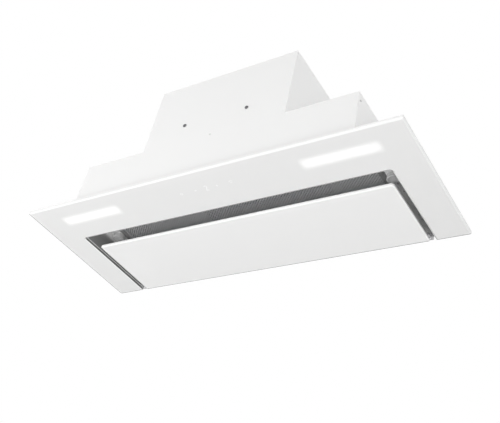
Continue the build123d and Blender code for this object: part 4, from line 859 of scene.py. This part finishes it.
class HOOD_OT_filter(bpy.types.Operator):
    """Model the grease filter: frame, expanded mesh and latches"""

    bl_idname = "hood.filter"
    bl_label = "Grease Filter"

    def execute(self, context):
        mesh = context.scene.hood_filter
        low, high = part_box("filter_mesh")
        size = high - low
        columns = round(size.x / 2 / mesh.long_way)
        rows = round(size.y / mesh.short_way)
        cell_x = size.x / 2 / columns
        cell_y = size.y / rows
        for side, start in (("left", low.x), ("right", low.x + size.x / 2)):
            bm = bmesh.new()
            mesh_cell(bm, cell_x, cell_y, mesh.strand, mesh.twist)
            repeat(bm, columns, Vector((cell_x, 0.0, 0.0)))
            repeat(bm, rows, Vector((0.0, cell_y, 0.0)))
            bmesh.ops.recalc_face_normals(bm, faces=bm.faces)
            bmesh.ops.solidify(bm, geom=bm.faces[:], thickness=mesh.sheet)
            bmesh.ops.translate(bm, verts=bm.verts, vec=(start, low.y, middle("filter_mesh").z))
            add_piece(f"filter_mesh_{side}", bm, "root", "filter_aluminium", ["filter_mesh"])
        rounded_nodes(("filter_frame", "filter_latch_left", "filter_latch_right"), 0.3 * MM)
        return {"FINISHED"}


# ---- fasteners ---------------------------------------------------------------------------------------
def islands(node):
    """The box of each separate solid of a node."""
    bm = bmesh.new()
    bm.from_mesh(frame["nodes"][node].data)
    bmesh.ops.remove_doubles(bm, verts=bm.verts, dist=WELD)
    unseen = set(bm.verts)
    boxes = []
    while unseen:
        group = [unseen.pop()]
        for vert in group:
            for edge in vert.link_edges:
                other = edge.other_vert(vert)
                if other in unseen:
                    unseen.remove(other)
                    group.append(other)
        low = Vector(min(v.co[i] for v in group) for i in range(3))
        high = Vector(max(v.co[i] for v in group) for i in range(3))
        boxes.append((low, high))
    bm.free()
    return sorted(boxes, key=lambda box: tuple(box[0]))


def on_cross(index, arm, half):
    """The place on a cross of one of twelve points that go round it."""
    quarter, step = divmod(index + 1, 3)
    x, y = ((arm, -half), (arm, half), (half, half))[step]
    angle = quarter * math.pi / 2
    return (x * math.cos(angle) - y * math.sin(angle), x * math.sin(angle) + y * math.cos(angle))


# a pan head's outline, as shares of its radius and height
HEAD_SHAPE = ((0.97, 0.0), (1.0, 0.12), (1.0, 0.45), (0.94, 0.72), (0.8, 0.92), (0.64, 1.0))
HEAD_SIDES = 12
CROSS_ARM = 0.52
CROSS_HALF_WIDTH = 0.14


def screw(bm, place, head_r, head_h, shank_r, shank_l, recess):
    """A pan-head screw with a cross recess, its head standing on z = 0 before it is put in place."""
    rings = [(shank_r, -shank_l), (shank_r, 0.0)]
    rings += [(head_r * share, head_h * height) for share, height in HEAD_SHAPE]
    turns = [i * math.tau / HEAD_SIDES for i in range(HEAD_SIDES)]
    circles = [[(r * math.cos(turn), r * math.sin(turn), z) for turn in turns] for r, z in rings]
    cross = [on_cross(i, head_r * CROSS_ARM, head_r * CROSS_HALF_WIDTH) for i in range(HEAD_SIDES)]
    circles.append([(x, y, head_h) for x, y in cross])
    circles.append([(x * 0.6, y * 0.6, head_h * (1 - recess)) for x, y in cross])
    loops = [[bm.verts.new(place @ Vector(point)) for point in circle] for circle in circles]
    for lower, upper in zip(loops, loops[1:]):
        for i in range(HEAD_SIDES):
            j = (i + 1) % HEAD_SIDES
            bm.faces.new((lower[i], lower[j], upper[j], upper[i]))
    bm.faces.new(loops[0][::-1])
    bm.faces.new(loops[-1])


UP = Matrix.Identity(3)
TO_FRONT = Matrix.Rotation(math.pi / 2, 3, "X")
TO_LEFT = Matrix.Rotation(-math.pi / 2, 3, "Y")
# the way each node's heads face, their height and the radius of the shank
SCREWS = {
    "housing_screws": (UP, 1.8 * MM, 1.6 * MM),
    "top_screws": (UP, 2.2 * MM, 1.9 * MM),
    "collar_screws": (UP, 2.2 * MM, 1.9 * MM),
    "cover_screws": (TO_FRONT, 2.2 * MM, 2.0 * MM),
    "motor_screws": (TO_LEFT, 2.4 * MM, 2.0 * MM),
}


class HOOD_OT_fasteners(bpy.types.Operator):
    """Model the screws with their cross recesses"""

    bl_idname = "hood.fasteners"
    bl_label = "Screws"

    def execute(self, context):
        recess = context.scene.hood_fasteners.recess
        for node, (turn, head_h, shank_r) in SCREWS.items():
            bm = bmesh.new()
            for low, high in islands(node):
                size = turn.transposed() @ (high - low)
                length = abs(size.z)
                base = (low + high) / 2 + turn @ Vector((0.0, 0.0, length / 2 - head_h))
                place = Matrix.Translation(base) @ turn.to_4x4()
                screw(bm, place, abs(size.x) / 2, head_h, shank_r, length - head_h, recess)
            bmesh.ops.recalc_face_normals(bm, faces=bm.faces)
            add_piece(f"{node}_crossed", bm, "root", slot_for(node), [node])
        rounded_nodes(("flap_rivets",), 0.4 * MM)
        return {"FINISHED"}


class HOOD_OT_outlet(bpy.types.Operator):
    """Model the outlet collar, its valve flaps and the cable gland"""

    bl_idname = "hood.outlet"
    bl_label = "Outlet"

    def execute(self, context):
        rounded_nodes(
            ("outlet_collar", "damper_flap_front", "damper_flap_rear", "cable_gland"), 0.25 * MM
        )
        return {"FINISHED"}


class HOOD_OT_lights(bpy.types.Operator):
    """Model the light housings and the touch holder"""

    bl_idname = "hood.lights"
    bl_label = "Light Housings"

    def execute(self, context):
        rounded_nodes(("led_housing_left", "led_housing_right", "touch_holder"), 0.6 * MM)
        return {"FINISHED"}


class HOOD_OT_finishes(bpy.types.Operator):
    """Give every node that is shown as it stands its finish"""

    bl_idname = "hood.finishes"
    bl_label = "Finishes"

    def execute(self, context):
        for name, node in frame["nodes"].items():
            node.data.materials.clear()
            node.data.materials.append(FINISHES[slot_for(name)]())
        return {"FINISHED"}


# ---- stage -------------------------------------------------------------------------------------------
def seen_white(tree, strength, colour):
    """A background that the camera, gloss and glass see as white, with its own light on everything else."""
    path = tree.nodes.new("ShaderNodeLightPath").outputs
    seen = math_node(tree, "MAXIMUM", path["Is Camera Ray"], path["Is Glossy Ray"])
    seen = math_node(tree, "MAXIMUM", seen, path["Is Transmission Ray"])
    lit = add_node(tree, "ShaderNodeBackground", {"Color": colour, "Strength": strength})
    white = add_node(tree, "ShaderNodeBackground", {"Color": (1.0, 1.0, 1.0, 1.0), "Strength": 1.0})
    mixed = add_node(tree, "ShaderNodeMixShader", {0: seen, 1: lit.outputs[0], 2: white.outputs[0]})
    return mixed.outputs[0]


def add_lamp(name, place, aim, size, power):
    """A soft square lamp that points at aim."""
    lamp = bpy.data.lights.new(name, "AREA")
    lamp.shape = "SQUARE"
    lamp.size = size
    lamp.energy = power
    holder = bpy.data.objects.new(name, lamp)
    bpy.context.scene.collection.objects.link(holder)
    holder.location = place
    holder.rotation_euler = (Vector(aim) - Vector(place)).to_track_quat("-Z", "Y").to_euler()
    holder.visible_camera = False
    return holder


# name, place, aim, size and power
LAMPS = (
    ("front lamp", (-1.2, -2.6, -0.5), (0.0, 0.0, 0.1), 1.6, 21.5),
    ("fill lamp", (1.7, -1.7, -1.8), (0.0, 0.0, 0.0), 0.8, 18.0),
    ("under lamp", (-1.7, -1.6, -1.8), (0.0, 0.0, 0.0), 1.2, 36.0),
    ("side lamp", (2.6, -0.3, 0.2), (0.0, 0.0, 0.1), 1.2, 7.5),
    ("top lamp", (0.4, 1.2, 2.4), (0.0, 0.0, 0.2), 1.6, 14.0),
)
FLOOR_SIZE = 24.0


class HOOD_OT_stage(bpy.types.Operator):
    """Set up the camera, the lamps, the floor and the white surroundings"""

    bl_idname = "hood.stage"
    bl_label = "Stage"

    def execute(self, context):
        stage = context.scene.hood_stage
        world = bpy.data.worlds.new("pale studio")
        context.scene.world = world
        world.use_nodes = True
        tree = world.node_tree
        tree.nodes.clear()
        output = tree.nodes.new("ShaderNodeOutputWorld")
        tree.links.new(seen_white(tree, stage.sky, (1.0, 1.0, 1.0, 1.0)), output.inputs["Surface"])
        for lamp in LAMPS:
            add_lamp(*lamp)
        self.add_floor(context, stage)
        self.add_camera(context, stage)
        context.scene.view_settings.view_transform = "Standard"
        return {"FINISHED"}

    def add_floor(self, context, stage):
        bm = bmesh.new()
        bmesh.ops.create_grid(bm, x_segments=1, y_segments=1, size=FLOOR_SIZE / 2)
        bmesh.ops.translate(bm, verts=bm.verts, vec=(0.0, 0.0, stage.floor_height))
        mesh = bpy.data.meshes.new("floor")
        bm.to_mesh(mesh)
        bm.free()
        floor = bpy.data.objects.new("floor", mesh)
        context.scene.collection.objects.link(floor)
        pale = surface("pale floor", "Powder Coat", (0.9, 0.9, 0.9), 0.02, 0.8, 0.1)[0]
        mesh.materials.append(pale)

    def add_camera(self, context, stage):
        azimuth = stage.camera_azimuth
        elevation = stage.camera_elevation
        back = Vector(
            (
                math.sin(azimuth) * math.cos(elevation),
                -math.cos(azimuth) * math.cos(elevation),
                math.sin(elevation),
            )
        )
        level = Vector((0.0, 0.0, 1.0)).cross(back).normalized()
        upright = back.cross(level)
        turn = Matrix.Rotation(stage.camera_roll, 3, back)
        right = turn @ level
        above = turn @ upright
        camera = bpy.data.objects.new("camera", bpy.data.cameras.new("camera"))
        camera.data.lens = stage.lens
        camera.data.shift_y = stage.shift_y
        camera.data.clip_end = 100.0
        camera.matrix_world = (
            Matrix.Translation(stage.camera_place) @ Matrix((right, above, back)).transposed().to_4x4()
        )
        context.scene.collection.objects.link(camera)
        context.scene.camera = camera


# ---- add-on ------------------------------------------------------------------------------------------
class HOOD_PT_panel(bpy.types.Panel):
    """Lists the pieces of the hood and their settings"""

    bl_idname = "HOOD_PT_panel"
    bl_label = "Range Hood"
    bl_space_type = "VIEW_3D"
    bl_region_type = "UI"
    bl_category = "Range Hood"

    def draw(self, context):
        for name, group in SETTINGS.items():
            box = self.layout.box()
            box.label(text=group.__doc__)
            for label in group.__annotations__:
                box.prop(getattr(context.scene, name), label)
        for operator in OPERATORS:
            self.layout.operator(operator.bl_idname)


SETTINGS = {
    "hood_glass": HoodGlassSettings,
    "hood_lights": HoodLightSettings,
    "hood_touch": HoodTouchSettings,
    "hood_steel": HoodSteelSettings,
    "hood_filter": HoodFilterSettings,
    "hood_fasteners": HoodFastenerSettings,
    "hood_stage": HoodStageSettings,
}
OPERATORS = (
    HOOD_OT_finishes,
    HOOD_OT_glass,
    HOOD_OT_touch_keys,
    HOOD_OT_housing,
    HOOD_OT_intake,
    HOOD_OT_hinges,
    HOOD_OT_filter,
    HOOD_OT_fasteners,
    HOOD_OT_outlet,
    HOOD_OT_lights,
    HOOD_OT_stage,
)


def register():
    for cls in (*SETTINGS.values(), *OPERATORS, HOOD_PT_panel):
        bpy.utils.register_class(cls)
    for name, group in SETTINGS.items():
        setattr(bpy.types.Scene, name, PointerProperty(type=group))


def unregister():
    for name in SETTINGS:
        delattr(bpy.types.Scene, name)
    for cls in (HOOD_PT_panel, *reversed(OPERATORS), *reversed(list(SETTINGS.values()))):
        bpy.utils.unregister_class(cls)


def main():
    register()
    for operator in OPERATORS:
        group, name = operator.bl_idname.split(".")
        getattr(getattr(bpy.ops, group), name)()


if __name__ == "__main__":
    main()
